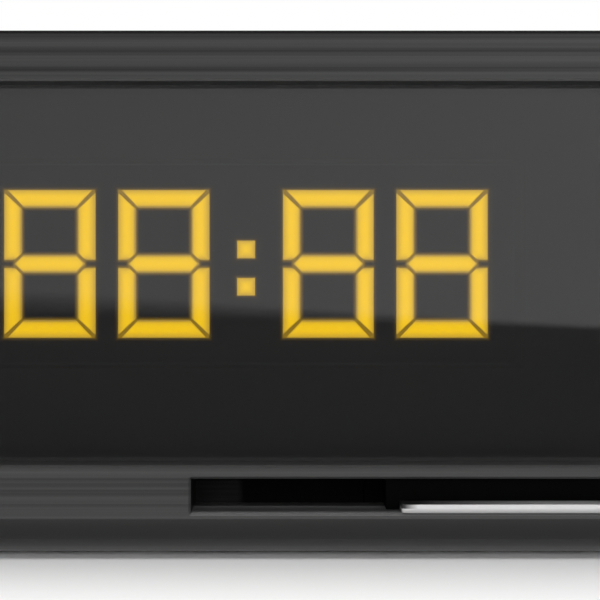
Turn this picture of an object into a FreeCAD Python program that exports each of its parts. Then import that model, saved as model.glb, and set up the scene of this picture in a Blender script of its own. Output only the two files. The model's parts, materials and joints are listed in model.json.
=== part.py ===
import FreeCAD, Part
import math
import os

# Satellite television receiver: a flat steel case with a brushed metal fascia, a smoked window with a
# four-digit display, keys, a smart card slot, and the sockets of a satellite receiver at the back.
# Millimetres. X runs to the right, Y from the front to the back, Z up from the surface it stands on.
# While the pieces are made, Y starts at the fascia's face. They are then moved so that the origin is
# the middle of the footprint.

os.makedirs("parts", exist_ok=True)
V = FreeCAD.Vector
tiny = 1e-6

# ---- Case ----
case_width = 300.0
front_height = 47.7
floor_gap = 0.2            # daylight under the fascia's lower edge
front_depth = 7.0
recess_depth = 3.3         # from the fascia's face to the window
body_depth = 195.0         # from the fascia's back to the rear panel's outer face
sheet = 0.8                # steel of the tray and the cover
panel_sheet = 1.0          # steel of the rear panel
sheet_gap = 0.1            # between one folded sheet and the next
cover_step = 0.8           # the cover's top lies this far under the fascia's top
cover_lift = 0.4           # the cover's sides end this far above the tray's underside
cover_bend = 1.6
foot_height = 1.6
foot_radius = 7.0
foot_inset_x = 23.0        # from the case's side to the foot's centre
foot_inset_y = 20.0        # from the tray's front and back edges to the foot's centre
foot_break = 0.3
tray_wall_height = 12.0
tray_flange_height = 6.6
tray_lip_height = 5.1

# ---- Fascia ----
top_round = 0.4
bottom_round = 3.5
end_round = 2.5
top_border = 4.6
window_opening_height = 34.8
side_border = 6.0
edge_break = 0.2
opening_corner = 1.2
slot_height = 3.15
slot_bridge = 1.2          # the bar between the window's opening and the card slot
slot_from_side = 54.1      # from the case's left side to the slot's left end
slot_width = 92.2
slot_corner = 0.1

# ---- Bezel and window ----
bezel_depth = 4.0
window_thickness = 1.5
window_overlap = 0.5       # hidden behind the fascia all round
window_play = 0.1
window_tape = 0.1          # tape between the window and the bezel
window_corner = 1.0

# ---- Display ----
display_from_side = 58.84  # from the case's left side to the middle of the four digits
digit_height = 14.1
digit_width = 8.65
digit_pitch = 10.88
colon_space = 4.85         # extra room between the second and the third digit
segment_width = 1.64
middle_bar_width = 1.75
segment_gap = 0.23         # half of each notch between segments, measured level
segment_notch = 0.40       # half of the gap between an upper and a lower upright
segment_corner = 0.35      # cut off each outer corner
segment_depth = 1.2
segment_proud = 0.1
display_set_back = 3.9     # from the window's back to the front of the segments
segment_play = 0.05
colon_side = 1.68
colon_spread = 3.56        # between the middles of the two dots
colon_drop = 0.41          # the dots' middle under the digits' middle
display_z_offset = 0.87    # the digits' middle above the opening's middle
housing_margin_x = 2.6
housing_margin_z = 2.4
housing_depth = 8.0
housing_play = 0.3

# ---- Keys ----
key_row_from_side = 55.0   # from the case's right side
key_reach = 10.5
key_long = 9.0
key_short = 6.0
key_corner = 1.2
ok_radius = 4.5
power_from_side = 19.0     # from the case's left side
power_radius = 6.0
key_proud = 1.2
key_travel = 0.5
key_play = 0.3
key_flange = 0.8
key_flange_depth = 1.0
stem_radius = 1.7
ring_width = 1.05
ring_flange = 1.0
ring_proud = 0.1
ring_play = 0.05
switch_side = 6.0
switch_height = 3.5
switch_end_room = 0.3      # left under the stem when a key is pressed home
switch_entry = 1.0
stem_play = 0.1

# ---- Boards ----
board_thickness = 1.6
board_hole = 1.6
boss_radius = 3.0
boss_hole = 1.5
boss_height = 5.6
board_edge = 5.0           # from a board's edge to its screw
main_screw_back = 58.0     # from the main board's back edge to its rear screws
front_board_side = 8.0     # from the case's side to the front board's end
front_board_drop = 1.3     # the front board's lower edge above the opening's lower edge
front_post_radius = 2.5
front_posts_left = [28.0, 100.0]    # from the case's left side
front_posts_right = [110.0, 34.0]   # from the case's right side
front_post_edge = 3.5
main_board_width = 157.0
main_board_depth = 137.5
power_board_width = 96.0
power_board_depth = 99.5
board_side = 6.0           # from the case's side to each board's outer edge
board_back = 1.5           # from each board's back edge to the rear panel

# ---- Infrared receiver, front USB ----
ir_from_side = 90.0        # from the case's right side
ir_width = 7.0
ir_height = 8.0
ir_depth = 4.5
ir_dome = 2.4
usb_from_side = 22.0       # from the case's right side
usb_width = 13.2
usb_height = 5.8
usb_wall = 0.35
usb_depth = 17.7
usb_z_offset = -6.0
usb_tongue_width = 11.1
usb_tongue_height = 1.9
usb_tongue_set_back = 1.2
usb_block_depth = 3.0

# ---- Smart card and reader ----
card_width = 54.0
card_length = 85.6
card_thickness = 0.76
card_corner = 0.4
card_from_slot_end = 19.1
card_play = 0.06
chip_width = 12.6
chip_length = 11.4
chip_depth = 0.2
chip_corner = 1.2
chip_play = 0.02
chip_from_end = 15.2
chip_off_centre = 3.0
guide_play = 0.1
rail_width = 3.0
nose_set_back = 2.2
nose_cheek = 1.2
nose_play = 0.1
reader_stop = 2.0
stop_play = 0.2
leaf_width = 1.7
leaf_length = 2.0
leaf_thickness = 0.25
leaf_pitch = 2.54
leaf_rows_apart = 7.62
leaf_drop = 0.05

# ---- Screws ----
head_radius = 2.8
head_height = 1.6
shank_radius = 1.45
shank_length = 5.0
screw_hole = 1.6
cross_length = 3.2
cross_width = 0.7
cross_depth = 0.8
side_screw_z = 3.4         # above the tray's floor
side_screw_inset = 33.0
lip_screw_z = 2.6
lip_screw_insets = [15.0, 90.0]     # from each side of the case

# ---- Vents ----
vent_width = 2.4
vent_length = 34.0
vent_pitch = 6.0
vent_count = 14
vent_corner = 1.1
vent_from_back = 70.0
vent_from_side = 68.0      # from each side of the case to the middle of a group

# ---- Tuner and aerial connectors ----
tuner_from_side = 20.0     # from the case's right side
tuner_width = 26.0
tuner_depth = 50.0
tuner_height = 34.0
f_radius = 4.76
f_bore = 3.6
f_reach = 11.0
f_bore_depth = 10.0
f_spacing = 19.0
f_low = 7.6                # the lower connector above the board
f_nut_across = 14.0
f_nut_thickness = 2.0
f_set_back = 0.5
f_pin_hole = 0.6
f_pin_floor = 1.5
fit_play = 0.05
panel_play = 0.2

# ---- Audio, video and data sockets ----
tuner_gap = 2.0            # between the tuner and the socket beside it
socket_gap = 1.5           # between one socket and the next
scart_width = 47.0
scart_height = 13.5
scart_slant = 4.0
scart_wall = 0.6
scart_depth = 13.5
scart_proud = 1.5
scart_gap = 1.6
scart_slots = 10
scart_slot_pitch = 3.81
scart_slot_width = 1.3
scart_slot_height = 3.2
scart_slot_depth = 6.0
scart_back = 2.0
scart_row_height = 1.92    # each row of contacts above or below the middle
scart_row_shift = 0.95     # the rows are staggered by this to each side
rca_pitch = 14.0
rca_end = 7.0
rca_height = 13.0
rca_depth = 15.0
rca_radius = 4.15
rca_wall = 1.1
rca_reach = 9.5
rca_hole = 1.65
rca_hole_depth = 7.5
rca_collar = 5.5
rca_collar_proud = 0.6
hdmi_width = 15.0
hdmi_height = 5.9
hdmi_wall = 0.5
hdmi_depth = 12.0
hdmi_corner = 1.8
hdmi_tongue_width = 11.4
hdmi_tongue_height = 1.3
hdmi_back = 2.0
socket_proud = 0.6
lan_width = 16.0
lan_height = 13.5
lan_depth = 21.0
lan_port_width = 12.0
lan_port_height = 8.0
lan_port_depth = 13.0
lan_latch_width = 6.0
lan_latch_height = 1.5

# ---- Mains inlet and switch ----
inlet_from_edge = 12.0     # from the power board's left edge
inlet_width = 20.0
inlet_height = 15.5
inlet_depth = 19.0
inlet_flange = 2.0
inlet_flange_depth = 1.0
inlet_port_width = 14.9
inlet_port_height = 8.6
inlet_port_depth = 13.0
inlet_port_corner = 4.1
inlet_pin_radius = 1.2
inlet_pin_spacing = 8.6
inlet_pin_set_back = 3.3
rocker_gap = 10.5          # between the flanges of the inlet and the switch
rocker_z = 26.0
rocker_width = 9.0
rocker_swing_radius = 7.0
rocker_tilt = 10.0
rocker_front = 4.0
rocker_dip = 1.4
rocker_back = 4.0
rocker_floor = 2.0         # behind the rocker's back
rocker_play = 0.3
rocker_frame_wall = 1.6
rocker_frame_end = 2.2
rocker_frame_depth = 12.0
rocker_flange = 1.1
rocker_flange_depth = 1.6
rocker_pivot_out = 0.5     # pivot outside the panel's face
pivot_radius = 1.0
pivot_length = 0.8
pivot_play = 0.05

# ---- Parts on the boards ----
core_width = 26.0
core_depth = 22.0
core_height = 22.0
core_leg = 9.0
core_yoke = 4.0
winding_play = 0.1
winding_overhang = 4.0
transformer_from_edge = 59.0        # from the power board's left edge
transformer_from_back = 55.0
bulk_radius = 9.0
bulk_height = 30.0
bulk_from_edge = 22.0
bulk_from_back = 58.0
small_radius = 4.0
small_height = 12.0
power_small_spots = [(82.0, 60.0), (82.0, 72.0), (82.0, 84.0)]     # from the left edge, from the panel
main_small_spots = [(8.0, 30.0), (8.0, 42.0), (35.0, 36.0)]        # from the left edge, from the panel
chip_side = 24.0
chip_height = 2.2
main_chip_from_edge = 82.0          # from the main board's right edge
main_chip_from_back = 80.0
memory_chip_width = 10.0
memory_chip_depth = 14.0
memory_chip_height = 1.4
memory_spots = [(112.0, 70.0), (112.0, 90.0), (52.0, 90.0)]        # from the right edge, from the panel
sink_base = 2.0
sink_height = 12.0
sink_fins = 8
sink_fin = 1.0
header_width = 12.0
header_depth = 6.0
header_height = 6.0
lead_radius = 0.6
lead_count = 4
lead_pitch = 2.5
lead_rise = 17.0
lead_from_back = 70.0
lead_inset = 6.0
ribbon_from_edge = 33.0             # from the main board's left edge
ribbon_width = 20.0
ribbon_thickness = 0.6
ribbon_header_depth = 5.0
ribbon_header_margin = 2.0
ribbon_front_z = 27.0      # above the tray's floor
ribbon_main_inset = 9.0
ribbon_header_height = 5.0

# ---- Levels and planes that follow ----
front_bottom = floor_gap
front_top = front_bottom + front_height
tray_under = foot_height
tray_floor = tray_under + sheet
cover_top = front_top - cover_step
cover_under = cover_top - sheet
cover_half = case_width / 2 - head_height
cover_inner = cover_half - sheet
tray_half = cover_inner - sheet_gap
tray_inner = tray_half - sheet
front_back = front_depth
steel_front = front_back + sheet_gap
panel_out = front_depth + body_depth
panel_in = panel_out - panel_sheet
panel_top = cover_under - sheet_gap
overall_depth = panel_out + f_reach

opening_top = front_top - top_border
opening_bottom = opening_top - window_opening_height
opening_half = case_width / 2 - side_border
opening_mid = (opening_top + opening_bottom) / 2
slot_top = opening_bottom - slot_bridge
slot_floor = slot_top - slot_height
slot_left = -case_width / 2 + slot_from_side
card_left = slot_left + card_from_slot_end
card_mid = card_left + card_width / 2
slot_right = slot_left + slot_width

glass_front = recess_depth
glass_back = glass_front + window_thickness
bezel_back = front_back + bezel_depth
bezel_half = tray_inner - sheet_gap
bezel_bottom = tray_floor + sheet_gap
window_half = opening_half + window_overlap
window_top = opening_top + window_overlap
window_bottom = opening_bottom - window_overlap

display_x = -case_width / 2 + display_from_side
display_z = opening_mid + display_z_offset
housing_front = glass_back + display_set_back + segment_proud
front_board_front = housing_front + housing_depth
front_board_back = front_board_front + board_thickness
front_board_bottom = opening_bottom + front_board_drop
front_board_top = opening_top
front_board_half = case_width / 2 - front_board_side
front_post_xs = [-case_width / 2 + inset for inset in front_posts_left]
front_post_xs += [case_width / 2 - inset for inset in front_posts_right]
lip_screw_xs = [side * (case_width / 2 - inset) for side in (-1, 1) for inset in lip_screw_insets]
vent_centre_x = case_width / 2 - vent_from_side

board_under = tray_floor + boss_height
board_top = board_under + board_thickness
board_rear = panel_in - board_back
main_left = case_width / 2 - board_side - main_board_width
main_right = case_width / 2 - board_side
main_front = board_rear - main_board_depth
power_left = -case_width / 2 + board_side
power_right = power_left + power_board_width
power_front = board_rear - power_board_depth

tuner_x = case_width / 2 - tuner_from_side
lan_x = tuner_x - tuner_width / 2 - tuner_gap - lan_width / 2
hdmi_x = lan_x - lan_width / 2 - socket_gap - hdmi_width / 2
rca_half = rca_pitch + rca_end
rca_x = hdmi_x - hdmi_width / 2 - socket_gap - rca_half
scart_x = rca_x - rca_half - socket_gap - scart_width / 2
inlet_x = power_left + inlet_from_edge + inlet_width / 2
rocker_hollow_half = rocker_width / 2 + rocker_play
rocker_frame_half = rocker_hollow_half + rocker_frame_wall
rocker_x = inlet_x + inlet_width / 2 + inlet_flange + rocker_gap + rocker_flange + rocker_frame_half
transformer_x = power_left + transformer_from_edge
main_chip_x = main_right - main_chip_from_edge
ribbon_x = main_left + ribbon_from_edge

card_under = slot_floor + card_play
card_top = card_under + card_thickness
rail_top = card_top + card_play
channel_half = card_width / 2 + guide_play
reader_half = channel_half + rail_width
nose_half = channel_half + nose_cheek
nose_top = slot_top - nose_play

key_row_x = case_width / 2 - key_row_from_side
power_x = -case_width / 2 + power_from_side
ir_x = case_width / 2 - ir_from_side
usb_x = case_width / 2 - usb_from_side
key_front = glass_front - key_proud
key_z = opening_mid
key_sites = {
    "key_up": (key_row_x, key_z + key_reach, key_long, key_short),
    "key_down": (key_row_x, key_z - key_reach, key_long, key_short),
    "key_left": (key_row_x - key_reach, key_z, key_short, key_long),
    "key_right": (key_row_x + key_reach, key_z, key_short, key_long),
}
switch_centres = [(power_x, key_z), (key_row_x, key_z)]
switch_centres += [(site[0], site[1]) for site in key_sites.values()]


# ---- Shapes ----
def box(x0, x1, y0, y1, z0, z1):
    return Part.makeBox(x1 - x0, y1 - y0, z1 - z0, V(x0, y0, z0))


def rod_x(radius, x0, x1, y, z):
    return Part.makeCylinder(radius, x1 - x0, V(x0, y, z), V(1, 0, 0))


def rod_y(radius, x, y0, y1, z):
    return Part.makeCylinder(radius, y1 - y0, V(x, y0, z), V(0, 1, 0))


def rod_z(radius, x, y, z0, z1):
    return Part.makeCylinder(radius, z1 - z0, V(x, y, z0), V(0, 0, 1))


def runs_along(edge, axis):
    if not isinstance(edge.Curve, Part.Line):
        return False
    return abs(abs(edge.tangentAt(edge.FirstParameter).dot(axis)) - 1) < tiny


def rounded_box(x0, x1, y0, y1, z0, z1, radius, axis):
    block = box(x0, x1, y0, y1, z0, z1)
    return block.makeFillet(radius, [edge for edge in block.Edges if runs_along(edge, axis)])


def plate_y(x, z, width, height, y0, y1, radius):
    # A plate with rounded corners that faces the front.
    return rounded_box(x - width / 2, x + width / 2, y0, y1, z - height / 2, z + height / 2,
                       radius, V(0, 1, 0))


def prism(points, direction):
    return Part.Face(Part.makePolygon(points + points[:1])).extrude(direction)


def fuse(shapes):
    joined = shapes[0]
    if len(shapes) > 1:
        joined = joined.fuse(shapes[1:])
    return joined.removeSplitter()


def export(name, shapes):
    shape = Part.makeCompound(shapes) if isinstance(shapes, list) else shapes
    shape = shape.copy()
    shape.translate(V(0, -overall_depth / 2, 0))
    shape.exportStep("parts/" + name + ".step")


# ---- Screws: pan head, cross recess; the head stands on the origin and the shank runs along -Z ----
def screw():
    head = Part.makeCylinder(head_radius, head_height, V(0, 0, 0))
    top_edge = [edge for edge in head.Edges if edge.BoundBox.ZMin > head_height - tiny]
    head = head.makeFillet(head_height / 2, top_edge)
    shank = Part.makeCylinder(shank_radius, shank_length, V(0, 0, -shank_length))
    body = head.fuse(shank).removeSplitter()
    half = cross_length / 2
    side = cross_width / 2
    low = head_height - cross_depth
    bars = [box(-half, half, -side, side, low, head_height), box(-side, side, -half, half, low, head_height)]
    return body.cut(bars)


def screw_at(position, outward):
    placed = screw()
    placed.Placement = FreeCAD.Placement(position, FreeCAD.Rotation(V(0, 0, 1), outward))
    return placed


side_screw_ys = [steel_front + side_screw_inset, panel_out - side_screw_inset]


def case_screws():
    screws = []
    for y in side_screw_ys:
        for side in (-1, 1):
            screws.append(screw_at(V(side * cover_half, y, tray_floor + side_screw_z), V(side, 0, 0)))
    for x in lip_screw_xs:
        screws.append(screw_at(V(x, panel_out, tray_floor + lip_screw_z), V(0, 1, 0)))
    return screws


def boss_spots(left, right, front, back):
    return [(x, y) for x in (left + board_edge, right - board_edge) for y in (front + board_edge, back)]


main_spots = boss_spots(main_left, main_right, main_front, board_rear - main_screw_back)
power_spots = boss_spots(power_left, power_right, power_front, board_rear - board_edge)
board_spots = main_spots + power_spots
front_post_spots = [(x, z) for x in front_post_xs
                    for z in (front_board_bottom + front_post_edge, front_board_top - front_post_edge)]


def board_screws():
    screws = [screw_at(V(x, y, board_top), V(0, 0, 1)) for x, y in board_spots]
    screws += [screw_at(V(x, front_board_back, z), V(0, 1, 0)) for x, z in front_post_spots]
    return screws


# ---- Case ----
def front_fascia():
    arc_low = bottom_round * (1 - math.sqrt(0.5))
    arc_high = top_round * (1 - math.sqrt(0.5))
    half = case_width / 2
    low = front_bottom
    high = front_top

    def at(y, z):
        return V(-half, y, z)

    edges = [
        Part.Arc(at(bottom_round, low), at(arc_low, low + arc_low), at(0, low + bottom_round)),
        Part.LineSegment(at(0, low + bottom_round), at(0, high - top_round)),
        Part.Arc(at(0, high - top_round), at(arc_high, high - arc_high), at(top_round, high)),
        Part.LineSegment(at(top_round, high), at(front_depth, high)),
        Part.LineSegment(at(front_depth, high), at(front_depth, low)),
        Part.LineSegment(at(front_depth, low), at(bottom_round, low)),
    ]
    section = Part.Face(Part.Wire([edge.toShape() for edge in edges]))
    bar = section.extrude(V(case_width, 0, 0))
    plan = box(-half, half, 0, front_depth, low, high)
    uprights = [edge for edge in plan.Edges if runs_along(edge, V(0, 0, 1))]
    front_corners = [edge for edge in uprights if edge.BoundBox.YMax < tiny]
    bar = bar.common(plan.makeFillet(end_round, front_corners))
    opening = plate_y(0, opening_mid, 2 * opening_half, window_opening_height, 0, front_depth, opening_corner)
    rebate = window_outline(window_play, glass_front, front_depth)
    slot_mid_x = (slot_left + slot_right) / 2
    slot_mid_z = (slot_floor + slot_top) / 2
    slot = plate_y(slot_mid_x, slot_mid_z, slot_width, slot_height, 0, front_depth, slot_corner)
    bar = bar.cut([opening, rebate, slot])
    rims = []
    for edge in bar.Edges:
        extent = edge.BoundBox
        inside = abs(edge.CenterOfMass.x) < opening_half + edge_break
        between = slot_floor - edge_break < extent.ZMin and extent.ZMax < opening_top + edge_break
        if extent.YMax < tiny and inside and between:
            rims.append(edge)
    return bar.makeChamfer(edge_break, rims)


def window_outline(play, y0, y1):
    return plate_y(0, opening_mid, 2 * (window_half + play), window_top - window_bottom + 2 * play,
                   y0, y1, window_corner + play)


def bezel_holes():
    holes = []
    for x, z, width, height in key_sites.values():
        grow = 2 * (key_flange + key_play)
        holes.append(plate_y(x, z, width + grow, height + grow, glass_back, bezel_back, key_corner))
    reach = key_flange + key_play
    holes.append(rod_y(ok_radius + reach, key_row_x, glass_back, bezel_back, key_z))
    holes.append(rod_y(power_flange_radius + key_play, power_x, glass_back, bezel_back, key_z))
    holes.append(rod_y(ring_out + ring_flange + ring_play, power_x, glass_back, ring_back, key_z))
    holes.append(usb_block(panel_play, glass_back, bezel_back))
    holes.append(plate_y(ir_x, key_z, ir_width + 1.0, ir_height + 1.0, glass_back, bezel_back, key_corner))
    side_x = housing_half + housing_play
    side_z = housing_half_height + housing_play
    holes.append(box(display_x - side_x, display_x + side_x, glass_back, bezel_back,
                     display_z - side_z, display_z + side_z))
    return holes


def front_bezel():
    plate = box(-bezel_half, bezel_half, front_back, bezel_back, bezel_bottom, panel_top)
    plate = plate.fuse(window_outline(0, glass_back + window_tape, front_back))
    notch = box(card_mid - reader_half - nose_play, card_mid + reader_half + nose_play,
                front_back, bezel_back, bezel_bottom, slot_top)
    plate = plate.cut([notch] + bezel_holes())
    posts = [rod_y(front_post_radius, x, bezel_back, front_board_front, z) for x, z in front_post_spots]
    body = fuse([plate] + posts)
    start = front_board_back - shank_length
    return body.cut([rod_y(boss_hole, x, start, front_board_front, z) for x, z in front_post_spots])


def display_window():
    plate = window_outline(0, glass_front, glass_back)
    holes = []
    for x, z, width, depth in key_sites.values():
        grow = 2 * key_play
        holes.append(plate_y(x, z, width + grow, depth + grow, glass_front, glass_back,
                             key_corner + key_play))
    holes.append(rod_y(ok_radius + key_play, key_row_x, glass_front, glass_back, key_z))
    holes.append(rod_y(ring_out + ring_play, power_x, glass_front, glass_back, key_z))
    holes.append(usb_block(panel_play, glass_front, glass_back))
    return plate.cut(holes)


def vents(top):
    slots = []
    for group in (-1, 1):
        for number in range(vent_count):
            x = group * vent_centre_x + (number - (vent_count - 1) / 2) * vent_pitch
            y0 = panel_out - vent_from_back
            slots.append(rounded_box(x - vent_width / 2, x + vent_width / 2, y0, y0 + vent_length,
                                     top - sheet, top, vent_corner, V(0, 0, 1)))
    return slots


def top_cover():
    low = tray_under + cover_lift
    hidden = low - cover_bend * 2
    along = V(0, 1, 0)
    outer = rounded_box(-cover_half, cover_half, steel_front, panel_out, hidden, cover_top,
                        cover_bend, along)
    inner = rounded_box(-cover_inner, cover_inner, steel_front, panel_out, hidden, cover_under,
                        cover_bend - sheet, along)
    skirt = box(-cover_half, cover_half, steel_front, panel_out, hidden, low)
    shell = outer.cut([inner, skirt] + vents(cover_top))
    z = tray_floor + side_screw_z
    holes = []
    for y in side_screw_ys:
        holes.append(rod_x(screw_hole, -cover_half, -cover_inner, y, z))
        holes.append(rod_x(screw_hole, cover_inner, cover_half, y, z))
    return shell.cut(holes)


def chassis_tray():
    walls_top = tray_floor + tray_wall_height
    floor = box(-tray_half, tray_half, steel_front, panel_in, tray_under, tray_floor)
    left = box(-tray_half, -tray_inner, steel_front, panel_in, tray_floor, walls_top)
    right = box(tray_inner, tray_half, steel_front, panel_in, tray_floor, walls_top)
    flange_front = bezel_back + sheet_gap
    flange = box(-tray_inner, tray_inner, flange_front, flange_front + sheet, tray_floor,
                 tray_floor + tray_flange_height)
    room = reader_half + rail_width
    flange = flange.cut(box(card_mid - room, card_mid + room, flange_front, flange_front + sheet,
                            tray_floor, tray_floor + tray_flange_height))
    lip = box(-tray_inner, tray_inner, panel_in - sheet, panel_in, tray_floor, tray_floor + tray_lip_height)
    bosses = [rod_z(boss_radius, x, y, tray_floor, board_under) for x, y in board_spots]
    body = fuse([floor, left, right, flange, lip] + bosses)
    holes = [rod_z(boss_hole, x, y, tray_floor, board_under) for x, y in board_spots] + vents(tray_floor)
    z = tray_floor + side_screw_z
    for y in side_screw_ys:
        holes.append(rod_x(boss_hole, -tray_half, -tray_inner, y, z))
        holes.append(rod_x(boss_hole, tray_inner, tray_half, y, z))
    for x in lip_screw_xs:
        holes.append(rod_y(boss_hole, x, panel_in - sheet, panel_in, tray_floor + lip_screw_z))
    return body.cut(holes)


def feet():
    shapes = []
    half = case_width / 2 - foot_inset_x
    for y in (steel_front + foot_inset_y, panel_in - foot_inset_y):
        for x in (-half, half):
            foot = rod_z(foot_radius, x, y, 0, foot_height)
            rim = [edge for edge in foot.Edges if edge.BoundBox.ZMax < tiny]
            shapes.append(foot.makeChamfer(foot_break, rim))
    return shapes


def rear_panel():
    plate = box(-cover_inner + sheet_gap, cover_inner - sheet_gap, panel_in, panel_out, tray_under, panel_top)
    through = [edge for edge in plate.Edges if runs_along(edge, V(0, 1, 0))]
    corners = [edge for edge in through if edge.BoundBox.ZMin > board_top]
    plate = plate.makeFillet(cover_bend, corners)
    holes = [rod_y(screw_hole, x, panel_in, panel_out, tray_floor + lip_screw_z) for x in lip_screw_xs]
    for z in f_heights:
        holes.append(rod_y(f_radius + panel_play, tuner_x, panel_in, panel_out, z))
    holes.append(scart_outline(panel_play, panel_in, panel_out))
    for x in rca_xs:
        holes.append(rod_y(rca_collar + panel_play, x, panel_in, panel_out, rca_z))
    holes.append(socket_hole(hdmi_x, hdmi_width, hdmi_height))
    holes.append(socket_hole(lan_x, lan_width, lan_height))
    holes.append(socket_hole(inlet_x, inlet_width, inlet_height))
    frame_x = rocker_frame_half + panel_play
    frame_z = rocker_swing_radius + rocker_play + rocker_frame_end + panel_play
    holes.append(box(rocker_x - frame_x, rocker_x + frame_x, panel_in, panel_out,
                     rocker_z - frame_z, rocker_z + frame_z))
    return plate.cut(holes)


def socket_hole(x, width, height):
    half = width / 2 + panel_play
    return box(x - half, x + half, panel_in, panel_out,
               board_top - panel_play, board_top + height + panel_play)


# ---- Display ----
housing_half = (3 * digit_pitch + colon_space + digit_width) / 2 + housing_margin_x
housing_half_height = digit_height / 2 + housing_margin_z


def digit_segments(x):
    # Each outline is a list of (x, z) points. The lower half and the right side are mirror images.
    w = digit_width / 2
    h = digit_height / 2
    t = segment_width
    m = middle_bar_width / 2
    s = segment_gap
    c = segment_corner
    cap = [(-w + c, h), (w - c, h), (w - t - s, h - t), (-w + t + s, h - t)]
    bar = [(-w + t + s - m, 0), (-w + t + s, m), (w - t - s, m), (w - t - s + m, 0),
           (w - t - s, -m), (-w + t + s, -m)]
    post = [(-w, h - c), (-w + t, h - t - s), (-w + t, m + s),
            (-w + t - m - s + segment_notch, segment_notch), (-w, segment_notch)]
    outlines = [bar]
    for up in (-1, 1):
        outlines.append([(u, v * up) for u, v in cap])
        for side in (-1, 1):
            outlines.append([(-u * side, v * up) for u, v in post])
    return [[(x + u, display_z + v) for u, v in outline] for outline in outlines]


def digit_centre(number):
    offset = (number - 1.5) * digit_pitch
    return display_x + offset + (colon_space / 2 if number > 1 else -colon_space / 2)


def outline_prism(points, grow, y0, y1):
    face = Part.Face(Part.makePolygon([V(x, y0, z) for x, z in points + points[:1]]))
    if grow:
        face = face.makeOffset2D(grow, 2)
    return face.extrude(V(0, y1 - y0, 0))


def colon_squares():
    half = colon_side / 2
    squares = []
    for level in (-0.5, 0.5):
        z = display_z - colon_drop + level * colon_spread
        squares.append([(display_x - half, z - half), (display_x + half, z - half),
                        (display_x + half, z + half), (display_x - half, z + half)])
    return squares


def lit_pieces(outlines):
    front = housing_front - segment_proud
    return [outline_prism(points, 0, front, front + segment_depth) for points in outlines]


def display_housing():
    block = box(display_x - housing_half, display_x + housing_half, housing_front, front_board_front,
                display_z - housing_half_height, display_z + housing_half_height)
    outlines = colon_squares()
    for number in range(4):
        outlines += digit_segments(digit_centre(number))
    bottom = housing_front - segment_proud + segment_depth
    return block.cut([outline_prism(points, segment_play, housing_front, bottom) for points in outlines])


# ---- Keys ----
ring_in = power_radius + key_play
ring_out = ring_in + ring_width
ring_back = glass_back + ring_flange
power_flange_radius = ring_in + key_flange
stem_end = front_board_front - switch_height + switch_entry
switch_bore_depth = switch_entry + key_travel + switch_end_room


def stem(x, z, start):
    return rod_y(stem_radius, x, start, stem_end, z)


def eased_front(shape):
    rim = [edge for edge in shape.Edges if edge.BoundBox.YMax < key_front + tiny]
    return shape.makeFillet(edge_break, rim)


def power_button():
    start = ring_back + key_play
    cap = eased_front(rod_y(power_radius, power_x, key_front, start, key_z))
    flange = rod_y(power_flange_radius, power_x, start, start + key_flange_depth, key_z)
    return fuse([cap, flange, stem(power_x, key_z, start + key_flange_depth)])


def ok_key():
    start = glass_back + key_play
    cap = eased_front(rod_y(ok_radius, key_row_x, key_front, start, key_z))
    flange = rod_y(ok_radius + key_flange, key_row_x, start, start + key_flange_depth, key_z)
    return fuse([cap, flange, stem(key_row_x, key_z, start + key_flange_depth)])


def arrow_key(x, z, width, height):
    start = glass_back + key_play
    cap = eased_front(plate_y(x, z, width, height, key_front, start, key_corner))
    grow = 2 * key_flange
    flange = plate_y(x, z, width + grow, height + grow, start, start + key_flange_depth, key_corner)
    return fuse([cap, flange, stem(x, z, start + key_flange_depth)])


def power_light_ring():
    tube = rod_y(ring_out, power_x, glass_front - ring_proud, glass_back, key_z)
    flange = rod_y(ring_out + ring_flange, power_x, glass_back, ring_back, key_z)
    return fuse([tube, flange]).cut(rod_y(ring_in, power_x, glass_front - ring_proud, ring_back, key_z))


def tact_switches():
    half = switch_side / 2
    low = front_board_front - switch_height
    bodies = []
    for x, z in switch_centres:
        body = box(x - half, x + half, low, front_board_front, z - half, z + half)
        bodies.append(body.cut(rod_y(stem_radius + stem_play, x, low, low + switch_bore_depth, z)))
    return bodies


# ---- Front board and what it carries ----
def usb_block(play, y0, y1):
    z = opening_mid + usb_z_offset
    half = usb_width / 2 + play
    rise = usb_height / 2 + play
    return box(usb_x - half, usb_x + half, y0, y1, z - rise, z + rise)


def usb_shell():
    outer = usb_block(0, glass_front, glass_front + usb_depth)
    return outer.cut(usb_block(-usb_wall, glass_front, glass_front + usb_depth))


def usb_tongue():
    z = opening_mid + usb_z_offset
    back = glass_front + usb_depth
    block = usb_block(-usb_wall, back - usb_block_depth, back)
    half = usb_tongue_width / 2
    rise = usb_tongue_height / 2
    tongue = box(usb_x - half, usb_x + half, glass_front + usb_tongue_set_back, back - usb_block_depth,
                 z - rise, z + rise)
    return fuse([block, tongue])


def front_board():
    board = box(-front_board_half, front_board_half, front_board_front, front_board_back,
                front_board_bottom, front_board_top)
    holes = [rod_y(board_hole, x, front_board_front, front_board_back, z) for x, z in front_post_spots]
    return board.cut(holes + [usb_block(panel_play, front_board_front, front_board_back)])


def ir_receiver():
    half = ir_width / 2
    rise = ir_height / 2
    block = box(ir_x - half, ir_x + half, front_board_front - ir_depth, front_board_front,
                key_z - rise, key_z + rise)
    dome = Part.makeSphere(ir_dome, V(ir_x, front_board_front - ir_depth, key_z))
    return fuse([block, dome])


# ---- Smart card and reader ----
def chip_box(play):
    x = card_mid + chip_off_centre
    y = card_length - chip_from_end
    half = chip_width / 2 + play
    reach = chip_length / 2 + play
    return rounded_box(x - half, x + half, y - reach, y + reach, card_under, card_under + chip_depth,
                       chip_corner, V(0, 0, 1))


def smart_card():
    body = rounded_box(card_left, card_left + card_width, 0, card_length, card_under, card_top,
                       card_corner, V(0, 0, 1))
    return body.cut(chip_box(chip_play))


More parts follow.
